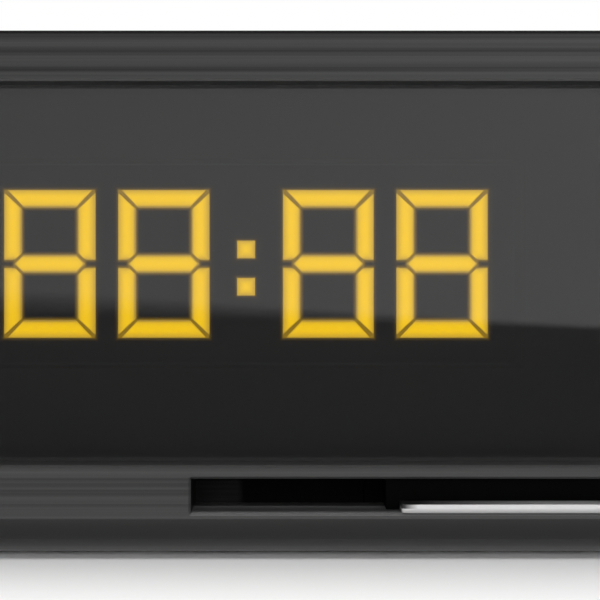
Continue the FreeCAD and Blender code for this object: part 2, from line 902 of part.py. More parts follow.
def leaf_spots():
    x0 = card_mid + chip_off_centre
    y0 = card_length - chip_from_end
    return [(x0 + (column - 1.5) * leaf_pitch, y0 + row * leaf_rows_apart / 2)
            for row in (-1, 1) for column in range(4)]


def leaf(x, y, play, low, high):
    return box(x - leaf_width / 2 - play, x + leaf_width / 2 + play, y - leaf_length / 2 - play,
               y + leaf_length / 2 + play, low, high)


def reader_contacts():
    high = slot_floor - leaf_drop
    return [leaf(x, y, 0, high - leaf_thickness, high) for x, y in leaf_spots()]


def reader_base():
    back = card_length + stop_play + reader_stop
    block = box(card_mid - reader_half, card_mid + reader_half, front_back + sheet_gap, back,
                tray_floor, rail_top)
    channel = box(card_mid - channel_half, card_mid + channel_half, front_back + sheet_gap,
                  card_length + stop_play, slot_floor, rail_top)
    high = slot_floor - leaf_drop
    pockets = [leaf(x, y, card_play, high - leaf_thickness, slot_floor) for x, y in leaf_spots()]
    return block.cut([channel] + pockets)


def reader_cover():
    back = card_length + stop_play + reader_stop
    lid = box(card_mid - reader_half, card_mid + reader_half, front_back + sheet_gap, back,
              rail_top, nose_top)
    nose = box(card_mid - nose_half, card_mid + nose_half, nose_set_back, front_back + sheet_gap,
               rail_top, nose_top)
    cheeks = [box(card_mid - nose_half, card_mid - channel_half, nose_set_back, front_back,
                  slot_floor + nose_play, rail_top),
              box(card_mid + channel_half, card_mid + nose_half, nose_set_back, front_back,
                  slot_floor + nose_play, rail_top)]
    return fuse([lid, nose] + cheeks)


# ---- Main and power boards ----
def flat_board(left, right, front, spots):
    board = box(left, right, front, board_rear, board_under, board_top)
    return board.cut([rod_z(board_hole, x, y, board_under, board_top) for x, y in spots])


# ---- Tuner and aerial connectors ----
f_heights = [board_top + f_low, board_top + f_low + f_spacing]


def tuner_can():
    half = tuner_width / 2
    return box(tuner_x - half, tuner_x + half, panel_in - tuner_depth, panel_in, board_top,
               board_top + tuner_height)


def f_connectors():
    shapes = []
    for z in f_heights:
        end = panel_out + f_reach
        thread = rod_y(f_radius, tuner_x, panel_in, end, z)
        shapes.append(thread.cut(rod_y(f_bore, tuner_x, end - f_bore_depth, end, z)))
    return shapes


def f_insulators():
    shapes = []
    for z in f_heights:
        mouth = panel_out + f_reach
        plug = rod_y(f_bore - fit_play, tuner_x, mouth - f_bore_depth, mouth - f_set_back, z)
        floor = mouth - f_bore_depth + f_pin_floor
        shapes.append(plug.cut(rod_y(f_pin_hole, tuner_x, floor, mouth - f_set_back, z)))
    return shapes


def f_nuts():
    shapes = []
    corner = f_nut_across / math.sqrt(3)
    for z in f_heights:
        points = [V(tuner_x + corner * math.cos(math.radians(60 * k)), panel_out,
                    z + corner * math.sin(math.radians(60 * k))) for k in range(6)]
        nut = prism(points, V(0, f_nut_thickness, 0))
        hole = rod_y(f_radius + fit_play, tuner_x, panel_out, panel_out + f_nut_thickness, z)
        shapes.append(nut.cut(hole))
    return shapes


# ---- Audio, video and data sockets ----
scart_z = board_top + scart_height / 2


def scart_outline(play, y0, y1):
    # A long rectangle with one end slanted, as seen from behind.
    half = scart_width / 2 + play
    rise = scart_height / 2 + play
    points = [V(scart_x - half, y0, scart_z - rise), V(scart_x + half, y0, scart_z - rise),
              V(scart_x + half, y0, scart_z + rise - scart_slant),
              V(scart_x + half - scart_slant, y0, scart_z + rise), V(scart_x - half, y0, scart_z + rise)]
    return prism(points, V(0, y1 - y0, 0))


def scart_shell():
    front = panel_out + scart_proud
    back = front - scart_depth
    return scart_outline(0, back, front).cut(scart_outline(-scart_wall, back, front))


def scart_core():
    front = panel_out + scart_proud
    back = front - scart_depth
    base = scart_outline(-scart_wall, back, back + scart_back)
    core = scart_outline(-scart_wall - scart_gap, back + scart_back, front - scart_wall)
    body = fuse([base, core])
    slots = []
    for row in (-1, 1):
        for number in range(scart_slots):
            x = scart_x + (number - (scart_slots - 1) / 2) * scart_slot_pitch + row * scart_row_shift
            z = scart_z + row * scart_row_height
            slots.append(box(x - scart_slot_width / 2, x + scart_slot_width / 2,
                             front - scart_wall - scart_slot_depth, front - scart_wall,
                             z - scart_slot_height / 2, z + scart_slot_height / 2))
    return body.cut(slots)


rca_xs = [rca_x - rca_pitch, rca_x, rca_x + rca_pitch]
rca_z = board_top + rca_height / 2


def rca_housing():
    return box(rca_x - rca_half, rca_x + rca_half, panel_in - rca_depth, panel_in, board_top,
               board_top + rca_height)


def tube_y(outer, inner, x, y0, y1, z):
    return rod_y(outer, x, y0, y1, z).cut(rod_y(inner, x, y0, y1, z))


def rca_barrels():
    return [tube_y(rca_radius, rca_radius - rca_wall, x, panel_in, panel_out + rca_reach, rca_z)
            for x in rca_xs]


def rca_inserts():
    shapes = []
    end = panel_out + rca_reach
    for x in rca_xs:
        collar_end = panel_out + rca_collar_proud
        core_end = end - rca_wall
        shapes.append(tube_y(rca_collar, rca_radius + fit_play, x, panel_in, collar_end, rca_z))
        core = rod_y(rca_radius - rca_wall - fit_play, x, panel_in, core_end, rca_z)
        shapes.append(core.cut(rod_y(rca_hole, x, core_end - rca_hole_depth, core_end, rca_z)))
    return shapes


def hdmi_socket():
    front = panel_out + socket_proud
    back = front - hdmi_depth
    half = hdmi_width / 2
    top = board_top + hdmi_height
    inset = hdmi_corner

    def outline(shrink, y0, y1):
        low = board_top + shrink
        high = top - shrink
        points = [V(hdmi_x - half + inset, y0, low), V(hdmi_x + half - inset, y0, low),
                  V(hdmi_x + half - shrink, y0, low + inset), V(hdmi_x + half - shrink, y0, high),
                  V(hdmi_x - half + shrink, y0, high), V(hdmi_x - half + shrink, y0, low + inset)]
        return prism(points, V(0, y1 - y0, 0))

    shell = outline(0, back, front).cut(outline(hdmi_wall, back + hdmi_back, front))
    middle = (board_top + top) / 2
    rise = hdmi_tongue_height / 2
    tongue = box(hdmi_x - hdmi_tongue_width / 2, hdmi_x + hdmi_tongue_width / 2, back + hdmi_back,
                 front - hdmi_wall, middle - rise, middle + rise)
    return fuse([shell, tongue])


lan_z = board_top + lan_height / 2


def ethernet_socket():
    front = panel_out + socket_proud
    half = lan_width / 2
    block = box(lan_x - half, lan_x + half, front - lan_depth, front, board_top, board_top + lan_height)
    port_half = lan_port_width / 2
    rise = lan_port_height / 2
    latch = lan_latch_width / 2
    port = box(lan_x - port_half, lan_x + port_half, front - lan_port_depth, front,
               lan_z - rise, lan_z + rise)
    notch = box(lan_x - latch, lan_x + latch, front - lan_port_depth, front,
                lan_z - rise - lan_latch_height, lan_z - rise)
    return block.cut([port, notch])


# ---- Mains inlet and switch ----
inlet_z = board_top + inlet_height / 2
inlet_front = panel_out + inlet_flange_depth


def mains_inlet():
    half = inlet_width / 2
    body = box(inlet_x - half, inlet_x + half, inlet_front - inlet_depth, panel_out,
               board_top, board_top + inlet_height)
    flange = rounded_box(inlet_x - half - inlet_flange, inlet_x + half + inlet_flange, panel_out, inlet_front,
                         board_top - inlet_flange, board_top + inlet_height + inlet_flange,
                         inlet_flange, V(0, 1, 0))
    port = plate_y(inlet_x, inlet_z, inlet_port_width, inlet_port_height, inlet_front - inlet_port_depth,
                   inlet_front, inlet_port_corner)
    return fuse([body, flange]).cut(port)


def inlet_pins():
    start = inlet_front - inlet_port_depth
    return [rod_y(inlet_pin_radius, inlet_x + side * inlet_pin_spacing / 2, start,
                  inlet_front - inlet_pin_set_back, inlet_z) for side in (-1, 1)]


rocker_y = panel_out + rocker_pivot_out
rocker_half = rocker_width / 2


def rocker_frame():
    inner_x = rocker_hollow_half
    inner_z = rocker_swing_radius + rocker_play
    outer_x = rocker_frame_half
    outer_z = inner_z + rocker_frame_end
    front = panel_out + rocker_flange_depth
    body = box(rocker_x - outer_x, rocker_x + outer_x, panel_out - rocker_frame_depth, panel_out,
               rocker_z - outer_z, rocker_z + outer_z)
    flange = box(rocker_x - outer_x - rocker_flange, rocker_x + outer_x + rocker_flange, panel_out, front,
                 rocker_z - outer_z - rocker_flange, rocker_z + outer_z + rocker_flange)
    cavity = box(rocker_x - inner_x, rocker_x + inner_x, rocker_y - rocker_back - rocker_floor, front,
                 rocker_z - inner_z, rocker_z + inner_z)
    reach = inner_x + pivot_length
    bore = rod_x(pivot_radius + pivot_play, rocker_x - reach, rocker_x + reach, rocker_y, rocker_z)
    return fuse([body, flange]).cut([cavity, bore])


def power_rocker():
    radius = rocker_swing_radius
    across = [(-rocker_back, -radius), (rocker_front, -radius), (rocker_front - rocker_dip, 0),
              (rocker_front, radius), (-rocker_back, radius)]
    points = [V(rocker_x - rocker_half, rocker_y + u, rocker_z + v) for u, v in across]
    body = prism(points, V(rocker_width, 0, 0))
    drum = rod_x(radius, rocker_x - rocker_half, rocker_x + rocker_half, rocker_y, rocker_z)
    reach = rocker_hollow_half + pivot_length - pivot_play
    pivot = rod_x(pivot_radius, rocker_x - reach, rocker_x + reach, rocker_y, rocker_z)
    body = fuse([body.common(drum), pivot])
    body.rotate(V(rocker_x, rocker_y, rocker_z), V(1, 0, 0), -rocker_tilt)
    return body


# ---- Parts on the boards ----
def transformer_core():
    y = panel_in - transformer_from_back
    half = core_width / 2
    block = box(transformer_x - half, transformer_x + half, y - core_depth / 2, y + core_depth / 2,
                board_top, board_top + core_height)
    leg = core_leg / 2
    low = board_top + core_yoke
    high = board_top + core_height - core_yoke
    edge = half - core_yoke
    gaps = [box(transformer_x + leg, transformer_x + edge, y - core_depth / 2, y + core_depth / 2, low, high),
            box(transformer_x - edge, transformer_x - leg, y - core_depth / 2, y + core_depth / 2, low, high)]
    return block.cut(gaps)


def transformer_winding():
    y = panel_in - transformer_from_back
    low = board_top + core_yoke + winding_play
    high = board_top + core_height - core_yoke - winding_play
    half = core_width / 2 - core_yoke - winding_play
    reach = core_depth / 2 + winding_overhang
    coil = rounded_box(transformer_x - half, transformer_x + half, y - reach, y + reach, low, high,
                       winding_overhang / 2, V(0, 0, 1))
    leg = core_leg / 2 + winding_play
    gap = core_depth / 2 + winding_play
    return coil.cut(box(transformer_x - leg, transformer_x + leg, y - gap, y + gap, low, high))


def capacitors():
    bulk_x = power_left + bulk_from_edge
    shapes = [rod_z(bulk_radius, bulk_x, panel_in - bulk_from_back, board_top, board_top + bulk_height)]
    spots = [(power_left + inset, back) for inset, back in power_small_spots]
    spots += [(main_left + inset, back) for inset, back in main_small_spots]
    for x, back in spots:
        shapes.append(rod_z(small_radius, x, panel_in - back, board_top, board_top + small_height))
    return shapes


def main_chips():
    y = panel_in - main_chip_from_back
    half = chip_side / 2
    chips = [box(main_chip_x - half, main_chip_x + half, y - half, y + half,
                 board_top, board_top + chip_height)]
    side = memory_chip_width / 2
    reach = memory_chip_depth / 2
    for inset, back in memory_spots:
        x = main_right - inset
        chips.append(box(x - side, x + side, panel_in - back - reach, panel_in - back + reach,
                         board_top, board_top + memory_chip_height))
    return chips


def chip_heatsink():
    y = panel_in - main_chip_from_back
    half = chip_side / 2
    low = board_top + chip_height
    base = box(main_chip_x - half, main_chip_x + half, y - half, y + half, low, low + sink_base)
    step = (chip_side - sink_fin) / (sink_fins - 1)
    fins = [box(main_chip_x - half + k * step, main_chip_x - half + k * step + sink_fin, y - half, y + half,
                low + sink_base, low + sink_height) for k in range(sink_fins)]
    return fuse([base] + fins)


# ---- Wiring ----
lead_y = panel_in - lead_from_back
lead_start = power_right - lead_inset
lead_end = main_left + lead_inset
header_top = board_top + header_height
ribbon_z = tray_floor + ribbon_front_z
ribbon_y = main_front + ribbon_main_inset
ribbon_level = board_top + ribbon_header_height


def board_headers():
    half = header_width / 2
    reach = header_depth / 2
    blocks = [box(x - reach, x + reach, lead_y - half, lead_y + half, board_top, header_top)
              for x in (lead_start, lead_end)]
    side = ribbon_width / 2 + ribbon_header_margin
    across = ribbon_header_depth / 2
    blocks.append(box(ribbon_x - side, ribbon_x + side, front_board_back,
                      front_board_back + ribbon_header_depth, ribbon_z - across, ribbon_z + across))
    blocks.append(box(ribbon_x - side, ribbon_x + side, ribbon_y - across, ribbon_y + across,
                      board_top, ribbon_level))
    return blocks


def bent_path(points):
    # Straight runs joined by tangent arcs, each as large as its two runs allow.
    edges = []
    start = points[0]
    for before, corner, after in zip(points, points[1:], points[2:]):
        back = (before - corner).normalize()
        ahead = (after - corner).normalize()
        setback = 0.45 * min((before - corner).Length, (after - corner).Length)
        half_turn = (math.pi - back.getAngle(ahead)) / 2
        radius = setback / math.tan(half_turn)
        enter = corner + back * setback
        leave = corner + ahead * setback
        middle = (back + ahead).normalize()
        top = corner + middle * (radius / math.cos(half_turn) - radius)
        edges.append(Part.LineSegment(start, enter).toShape())
        edges.append(Part.Arc(enter, top, leave).toShape())
        start = leave
    edges.append(Part.LineSegment(start, points[-1]).toShape())
    return Part.Wire(edges)


def power_leads():
    leads = []
    level = header_top + lead_rise
    for number in range(lead_count):
        y = lead_y + (number - (lead_count - 1) / 2) * lead_pitch
        path = bent_path([V(lead_start, y, header_top), V(lead_start, y, level), V(lead_end, y, level),
                          V(lead_end, y, header_top)])
        ring = Part.Wire(Part.makeCircle(lead_radius, V(lead_start, y, header_top), V(0, 0, 1)))
        leads.append(path.makePipeShell([ring], True, False))
    return leads


def ribbon_cable():
    start = front_board_back + ribbon_header_depth
    path = bent_path([V(ribbon_x, start, ribbon_z), V(ribbon_x, ribbon_y, ribbon_z),
                      V(ribbon_x, ribbon_y, ribbon_level)])
    left = ribbon_x - ribbon_width / 2
    right = ribbon_x + ribbon_width / 2
    low = ribbon_z - ribbon_thickness / 2
    high = ribbon_z + ribbon_thickness / 2
    corners = [V(left, start, low), V(right, start, low), V(right, start, high), V(left, start, high)]
    return path.makePipeShell([Part.makePolygon(corners + corners[:1])], True, False)


# ---- All the pieces ----
export("front_fascia", front_fascia())
export("front_bezel", front_bezel())
export("display_window", display_window())
export("top_cover", top_cover())
export("chassis_tray", chassis_tray())
export("rear_panel", rear_panel())
for number, foot in enumerate(feet(), 1):
    export("foot_" + str(number), foot)
export("case_screws", case_screws())
export("board_screws", board_screws())
export("display_housing", display_housing())
for number in range(4):
    export("digit_" + str(number + 1), lit_pieces(digit_segments(digit_centre(number))))
export("colon_dots", lit_pieces(colon_squares()))
export("front_board", front_board())
export("tact_switches", tact_switches())
export("ir_receiver", ir_receiver())
export("power_light_ring", power_light_ring())
export("power_button", power_button())
export("key_ok", ok_key())
for name, site in key_sites.items():
    export(name, arrow_key(*site))
export("usb_shell", usb_shell())
export("usb_tongue", usb_tongue())
export("smart_card", smart_card())
export("card_chip", chip_box(0))
export("reader_base", reader_base())
export("reader_cover", reader_cover())
export("reader_contacts", reader_contacts())
export("main_board", flat_board(main_left, main_right, main_front, main_spots))
export("power_board", flat_board(power_left, power_right, power_front, power_spots))
export("tuner_can", tuner_can())
export("f_connectors", f_connectors())
export("f_insulators", f_insulators())
export("f_nuts", f_nuts())
export("scart_shell", scart_shell())
export("scart_core", scart_core())
export("rca_housing", rca_housing())
export("rca_barrels", rca_barrels())
export("rca_inserts", rca_inserts())
export("hdmi_socket", hdmi_socket())
export("ethernet_socket", ethernet_socket())
export("mains_inlet", mains_inlet())
export("inlet_pins", inlet_pins())
export("rocker_frame", rocker_frame())
export("power_rocker", power_rocker())
export("transformer_core", transformer_core())
export("transformer_winding", transformer_winding())
export("capacitors", capacitors())
export("main_chips", main_chips())
export("chip_heatsink", chip_heatsink())
export("board_headers", board_headers())
export("power_leads", power_leads())
export("ribbon_cable", ribbon_cable())
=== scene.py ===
import json
import math

import bmesh
import bpy
from mathutils import Matrix, Vector


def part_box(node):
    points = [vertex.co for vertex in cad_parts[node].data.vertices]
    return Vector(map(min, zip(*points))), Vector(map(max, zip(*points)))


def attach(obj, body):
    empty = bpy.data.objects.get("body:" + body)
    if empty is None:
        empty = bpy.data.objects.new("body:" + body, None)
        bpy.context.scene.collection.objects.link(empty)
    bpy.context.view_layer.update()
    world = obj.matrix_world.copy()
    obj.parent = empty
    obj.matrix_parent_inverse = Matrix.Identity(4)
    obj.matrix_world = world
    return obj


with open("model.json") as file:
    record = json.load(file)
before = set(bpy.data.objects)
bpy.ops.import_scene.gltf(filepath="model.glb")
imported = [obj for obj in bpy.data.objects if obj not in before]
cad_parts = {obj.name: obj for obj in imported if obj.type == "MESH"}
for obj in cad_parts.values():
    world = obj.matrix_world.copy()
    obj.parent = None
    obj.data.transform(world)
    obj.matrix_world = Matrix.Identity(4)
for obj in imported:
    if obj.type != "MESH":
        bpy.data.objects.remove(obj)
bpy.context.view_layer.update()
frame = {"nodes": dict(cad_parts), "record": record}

NODES = frame["nodes"]
MM = 0.001


def middle(node):
    low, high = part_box(node)
    return (low + high) / 2


# ---- Planes and places taken from the solids ----
FASCIA_LOW, FASCIA_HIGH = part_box("front_fascia")
FASCIA_HEIGHT = FASCIA_HIGH.z - FASCIA_LOW.z
FACE_Y = FASCIA_LOW.y
TOP_BORDER = 4.6 * MM           # from the fascia's upper edge down to its window opening
WINDOW_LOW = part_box("display_window")[0]
SLOT_END_X = -91.9 * MM         # the bezel carries a lighter painted reflection behind the slot to the left of this
CARD_LOW, CARD_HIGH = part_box("smart_card")
PANEL_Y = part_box("rear_panel")[1].y

# The line that the rear switch turns about.
ROCKER_PIVOT = Vector((middle("power_rocker").x, PANEL_Y + 0.5 * MM, 26 * MM))


# ---- Camera, as the photograph was framed ----
IMAGE_SIDE = 600
PIXEL_AT_FACE = 0.0904 * MM     # one pixel of the photograph, measured on the fascia's face
FACE_BOTTOM_ROW = 557.5
LEVEL_ROW = 267.5               # the row that the camera looks along, level
CAMERA_DISTANCE = 147 * MM
CAMERA_X = -86 * MM
SENSOR = 36.0


def make_camera():
    data = bpy.data.cameras.new("camera")
    camera = bpy.data.objects.new("camera", data)
    bpy.context.scene.collection.objects.link(camera)
    height = FASCIA_LOW.z + (FACE_BOTTOM_ROW - LEVEL_ROW) * PIXEL_AT_FACE
    camera.location = (CAMERA_X, FACE_Y - CAMERA_DISTANCE, height)
    camera.rotation_euler = (math.radians(90), 0, 0)
    data.sensor_width = SENSOR
    data.lens = SENSOR * CAMERA_DISTANCE / (IMAGE_SIDE * PIXEL_AT_FACE)
    data.shift_y = (LEVEL_ROW - IMAGE_SIDE / 2) / IMAGE_SIDE
    data.clip_start = 5 * MM
    data.clip_end = 20
    bpy.context.scene.camera = camera


# ---- Node helpers ----
def shader_of(material):
    return material.node_tree.nodes["Principled BSDF"]


def new_material(name):
    material = bpy.data.materials.new(name)
    material.use_nodes = True
    return material, material.node_tree, shader_of(material)


def feed(tree, socket, value):
    # The value is another node's output, or a fixed one.
    if isinstance(value, bpy.types.NodeSocket):
        tree.links.new(value, socket)
    else:
        socket.default_value = value


def set_shader(tree, shader, **values):
    for name, value in values.items():
        feed(tree, shader.inputs[name.replace("_", " ")], value)


def grey(level):
    return (level, level, level, 1)


def tinted(colour, factor=1.0):
    return (*(min(1.0, part * factor) for part in colour), 1)


def axis(tree, name, source="Object"):
    # One axis of a place in the object's own coordinates, of its surface normal, or, for the world
    # ("Generated"), of the direction looked in.
    kind = "ShaderNodeNewGeometry" if source == "Normal" else "ShaderNodeTexCoord"
    axes = tree.nodes.new("ShaderNodeSeparateXYZ")
    tree.links.new(tree.nodes.new(kind).outputs[source], axes.inputs["Vector"])
    return axes.outputs[name]


def noise(tree, scale, detail=3.0, roughness=0.5):
    # Noise over the object's own coordinates. The scale is one number, or one for each axis.
    place = tree.nodes.new("ShaderNodeTexCoord")
    mapping = tree.nodes.new("ShaderNodeMapping")
    mapping.inputs["Scale"].default_value = scale if isinstance(scale, tuple) else (scale,) * 3
    tree.links.new(place.outputs["Object"], mapping.inputs["Vector"])
    node = tree.nodes.new("ShaderNodeTexNoise")
    node.inputs["Scale"].default_value = 1.0
    node.inputs["Detail"].default_value = detail
    node.inputs["Roughness"].default_value = roughness
    tree.links.new(mapping.outputs["Vector"], node.inputs["Vector"])
    return node.outputs["Fac"]


def arithmetic(tree, operation, first, second=0.0):
    node = tree.nodes.new("ShaderNodeMath")
    node.operation = operation
    feed(tree, node.inputs[0], first)
    feed(tree, node.inputs[1], second)
    return node.outputs[0]


def in_turn(tree, operation, values):
    result = values[0]
    for value in values[1:]:
        result = arithmetic(tree, operation, result, value)
    return result


def total(tree, *values):
    return in_turn(tree, "ADD", values)


def product(tree, *values):
    return in_turn(tree, "MULTIPLY", values)


def smallest(tree, *values):
    return in_turn(tree, "MINIMUM", values)


def largest(tree, *values):
    return in_turn(tree, "MAXIMUM", values)


def difference(tree, first, second):
    return arithmetic(tree, "SUBTRACT", first, second)


def quotient(tree, first, second):
    return arithmetic(tree, "DIVIDE", first, second)


def absolute(tree, value):
    return arithmetic(tree, "ABSOLUTE", value)


def away_from(tree, value, place):
    return absolute(tree, difference(tree, value, place))


def remap(tree, value, low_in, high_in, low_out, high_out, clamp=True):
    node = tree.nodes.new("ShaderNodeMapRange")
    node.clamp = clamp
    node.inputs["From Min"].default_value = low_in
    node.inputs["From Max"].default_value = high_in
    node.inputs["To Min"].default_value = low_out
    node.inputs["To Max"].default_value = high_out
    tree.links.new(value, node.inputs["Value"])
    return node.outputs["Result"]


def rising(tree, value, start, end):
    # 0 up to the start and 1 from the end on.
    return remap(tree, value, start, end, 0.0, 1.0)


def falling(tree, value, start, end):
    # 1 up to the start and 0 from the end on.
    return remap(tree, value, start, end, 1.0, 0.0)


def ramp(tree, value, stops):
    # A grey that changes evenly from stop to stop. Each stop is a distance in mm and the grey there.
    first, last = stops[0][0] * MM, stops[-1][0] * MM
    node = tree.nodes.new("ShaderNodeValToRGB")
    elements = node.color_ramp.elements
    for place, level in stops[1:-1]:
        elements.new((place * MM - first) / (last - first)).color = grey(level)
    elements[0].color = grey(stops[0][1])
    elements[-1].color = grey(stops[-1][1])
    tree.links.new(rising(tree, value, first, last), node.inputs["Fac"])
    return node.outputs["Color"]


def blend_colours(tree, factor, first, second):
    node = tree.nodes.new("ShaderNodeMix")
    node.data_type = "RGBA"
    for number, value in ((0, factor), (6, first), (7, second)):
        feed(tree, node.inputs[number], value)
    return node.outputs[2]


def bump(tree, shader, height, strength, distance):
    node = tree.nodes.new("ShaderNodeBump")
    node.inputs["Strength"].default_value = strength
    node.inputs["Distance"].default_value = distance
    tree.links.new(height, node.inputs["Height"])
    tree.links.new(node.outputs["Normal"], shader.inputs["Normal"])


# ---- The fascia's metal ----
# Noise scales along X, Y and Z, which draw the streaks out from side to side.
BROAD_STREAKS = (1.1, 1, 1050)
FINE_STREAKS = (7, 1, 3600)
BROAD_SHARE = 0.78
STREAK_DEPTH = 0.01 * MM
STREAK_NOISE = (0.32, 0.68)     # the noise in a darkest and in a lightest streak, and their greys
STREAK_GREYS = (0.032, 0.147)
LOW_BAND_PAINTED_SHADE = 0.81                # what the low band and the top edge keep of those greys, as painted shade
TOP_PAINTED_SHADE = 0.4
# Heights above the fascia's lower edge, each with the start and the end of a change.
CREASE = (3.45 * MM, 3.55 * MM)                                     # from lacquer to metal
SLOT_TO_WINDOW = (7.4 * MM, 7.5 * MM)                               # between the two openings
LOW_BAND = (7.5 * MM, 12.0 * MM)                                    # a little darker below, in painted shade
OPENINGS_TOP = (FASCIA_HEIGHT - 4.0 * MM, FASCIA_HEIGHT - 3.9 * MM)
NEAR_TOP = (FASCIA_HEIGHT - 0.7 * MM, FASCIA_HEIGHT - 0.25 * MM)    # darker above, in painted shade
TOP_EDGE = (FASCIA_HEIGHT - 0.4 * MM, FASCIA_HEIGHT - 0.22 * MM)    # from metal to lacquer
# How far a surface leans from upright, as the size of its normal's Z.
BROKEN_EDGE = (0.4, 0.6)
LEVEL_FACE = (0.8, 0.9)
# The satin paint's greys on the cut edges of the two openings, painted light and shade: lighter where
# the slot's edge faces up, darker where it faces down and round the window.
SLOT_EDGE_UP_PAINTED_LIGHT = grey(0.11)
SLOT_EDGE_DOWN_PAINTED_SHADE = grey(0.02)
WINDOW_EDGE_PAINTED_SHADE = grey(0.045)
WINDOW_CEILING_PAINTED_SHADE = grey(0.025)
LACQUER_ROUGHNESS = 0.16
METAL_ROUGHNESS = 0.36
PAINT_ROUGHER_BY = 0.2          # than lacquer
# Greys by height above the fascia's lower edge where it turns under, a painted reflection of the floor
# that is lighter towards the bottom; and greys by depth behind its face on its window sill, painted
# shade, and on its slot floor, painted light and shade; with the distances in mm.
UNDER_EDGE_PAINTED_REFLECTION = ((0.0, 0.22), (0.3, 0.21), (0.43, 0.13), (0.7, 0.10), (0.94, 0.061), (1.37, 0.034),
                (1.7, 0.007))
SILL_PAINTED_SHADE = ((1.6, 0.030), (2.2, 0.016))
SLOT_FLOOR_PAINTED_LIGHT = ((0.3, 0.24), (0.7, 0.42), (1.1, 0.42), (1.5, 0.18), (2.1, 0.125), (2.8, 0.13),
              (3.95, 0.24), (4.7, 0.36), (5.0, 0.06))


def brushed_metal():
    # Dark anodised aluminium: level streaks on the flat faces, satin paint on the cut edges of its
    # openings, and smooth lacquer where the top and bottom edges turn away. Its greys carry painted
    # shade on the low band and the top edge, painted light and shade on the cut edges, sill and slot
    # floor, and a painted reflection of the floor where the bottom edge turns under.
    material, tree, shader = new_material("brushed_metal")
    height = difference(tree, axis(tree, "Z"), FASCIA_LOW.z)
    depth = difference(tree, axis(tree, "Y"), FACE_Y)
    facing_up = axis(tree, "Z", "Normal")
    facing_down = falling(tree, facing_up, -0.1, 0.1)
    lean = absolute(tree, facing_up)
    flat = product(tree, rising(tree, height, *CREASE), falling(tree, height, *TOP_EDGE))
    inside = falling(tree, height, *OPENINGS_TOP)
    cut = product(tree, flat, inside, rising(tree, lean, *BROKEN_EDGE))
    metal = difference(tree, flat, cut)

    broad = noise(tree, BROAD_STREAKS, detail=2.0)
    fine = noise(tree, FINE_STREAKS, detail=2.0, roughness=0.6)
    streaks = total(tree, product(tree, broad, BROAD_SHARE), product(tree, fine, 1 - BROAD_SHARE))
    # The streaks' greys, with painted shade on the low band and along the top edge.
    streaks_with_painted_shade = product(tree, remap(tree, height, *LOW_BAND, LOW_BAND_PAINTED_SHADE, 1.0),
                      remap(tree, height, *NEAR_TOP, 1.0, TOP_PAINTED_SHADE),
                      remap(tree, streaks, *STREAK_NOISE, *STREAK_GREYS))
    # Below the crease, a painted reflection of the floor, lighter towards the lower edge.
    face = blend_colours(tree, flat, ramp(tree, height, UNDER_EDGE_PAINTED_REFLECTION), streaks_with_painted_shade)

    # The cut edges' greys are painted light and shade: lighter where the slot's edge faces up, darker
    # facing down, graded by depth on the sill and slot floor.
    at_window = rising(tree, height, *SLOT_TO_WINDOW)
    slot_edge = blend_colours(tree, facing_down, SLOT_EDGE_UP_PAINTED_LIGHT, SLOT_EDGE_DOWN_PAINTED_SHADE)
    broken_edge = blend_colours(tree, at_window, slot_edge, WINDOW_EDGE_PAINTED_SHADE)
    window_face = blend_colours(tree, facing_down, ramp(tree, depth, SILL_PAINTED_SHADE), WINDOW_CEILING_PAINTED_SHADE)
    level_face = blend_colours(tree, at_window, ramp(tree, depth, SLOT_FLOOR_PAINTED_LIGHT), window_face)
    cut_edge_painted_light = blend_colours(tree, rising(tree, lean, *LEVEL_FACE), broken_edge, level_face)

    rough = total(tree, remap(tree, metal, 0.0, 1.0, LACQUER_ROUGHNESS, METAL_ROUGHNESS),
                  product(tree, cut, PAINT_ROUGHER_BY))
    set_shader(tree, shader, Base_Color=blend_colours(tree, cut, face, cut_edge_painted_light), Metallic=metal,
               Roughness=rough)
    bump(tree, shader, product(tree, streaks, metal), 0.12, STREAK_DEPTH)
    return material


# ---- The window ----
SMOKE = (grey(0.19), grey(0.21))
EDGE_PAINTED_GLOW = (0.35 * MM, 0.5 * MM)       # how far below the frame the stronger painted glow ends
WINDOW_PAINTED_GLOWS = (grey(0.27), grey(1.0))  # of the window's painted glow, and of its upper edge


def smoked_window():
    # Smoked acrylic: most of the light that enters is lost, and the surface mirrors the room. It
    # carries a very faint painted glow, stronger in a painted light line along its upper edge.
    material, tree, shader = new_material("smoked_window")
    below_frame = difference(tree, FASCIA_HIGH.z - TOP_BORDER, axis(tree, "Z"))
    # Painted glow: emission on the window, stronger just below the frame.
    painted_edge_line = falling(tree, below_frame, *EDGE_PAINTED_GLOW)
    set_shader(tree, shader, Base_Color=blend_colours(tree, noise(tree, 30), *SMOKE),
               Roughness=0.0, IOR=1.49, Transmission_Weight=0.935,
               Emission_Color=blend_colours(tree, painted_edge_line, *WINDOW_PAINTED_GLOWS), Emission_Strength=0.011)
    return material


# ---- The display's light ----
DIGITS = ("digit_1", "digit_2", "digit_3", "digit_4")
SEGMENT_WIDTH = 1.64 * MM
SEGMENT_HALF = SEGMENT_WIDTH / 2
SEGMENT_NOTCH = 0.40 * MM       # half of the gap between an upper and a lower upright
TIP_INSET = 0.17 * MM           # from the middle of the uprights to the middle bar's tips
MITRE_HALF = 0.13 * MM          # half of the slanting gap between two segments
MITRE_STEEPNESS = 3.0           # how much faster the light falls off there than towards an edge
CORNER_CUT = 0.25 * MM          # how much of a digit's outer corner stays unlit, along each side
SLANT = math.sqrt(0.5)          # makes a sum of two distances one across a line at 45 degrees
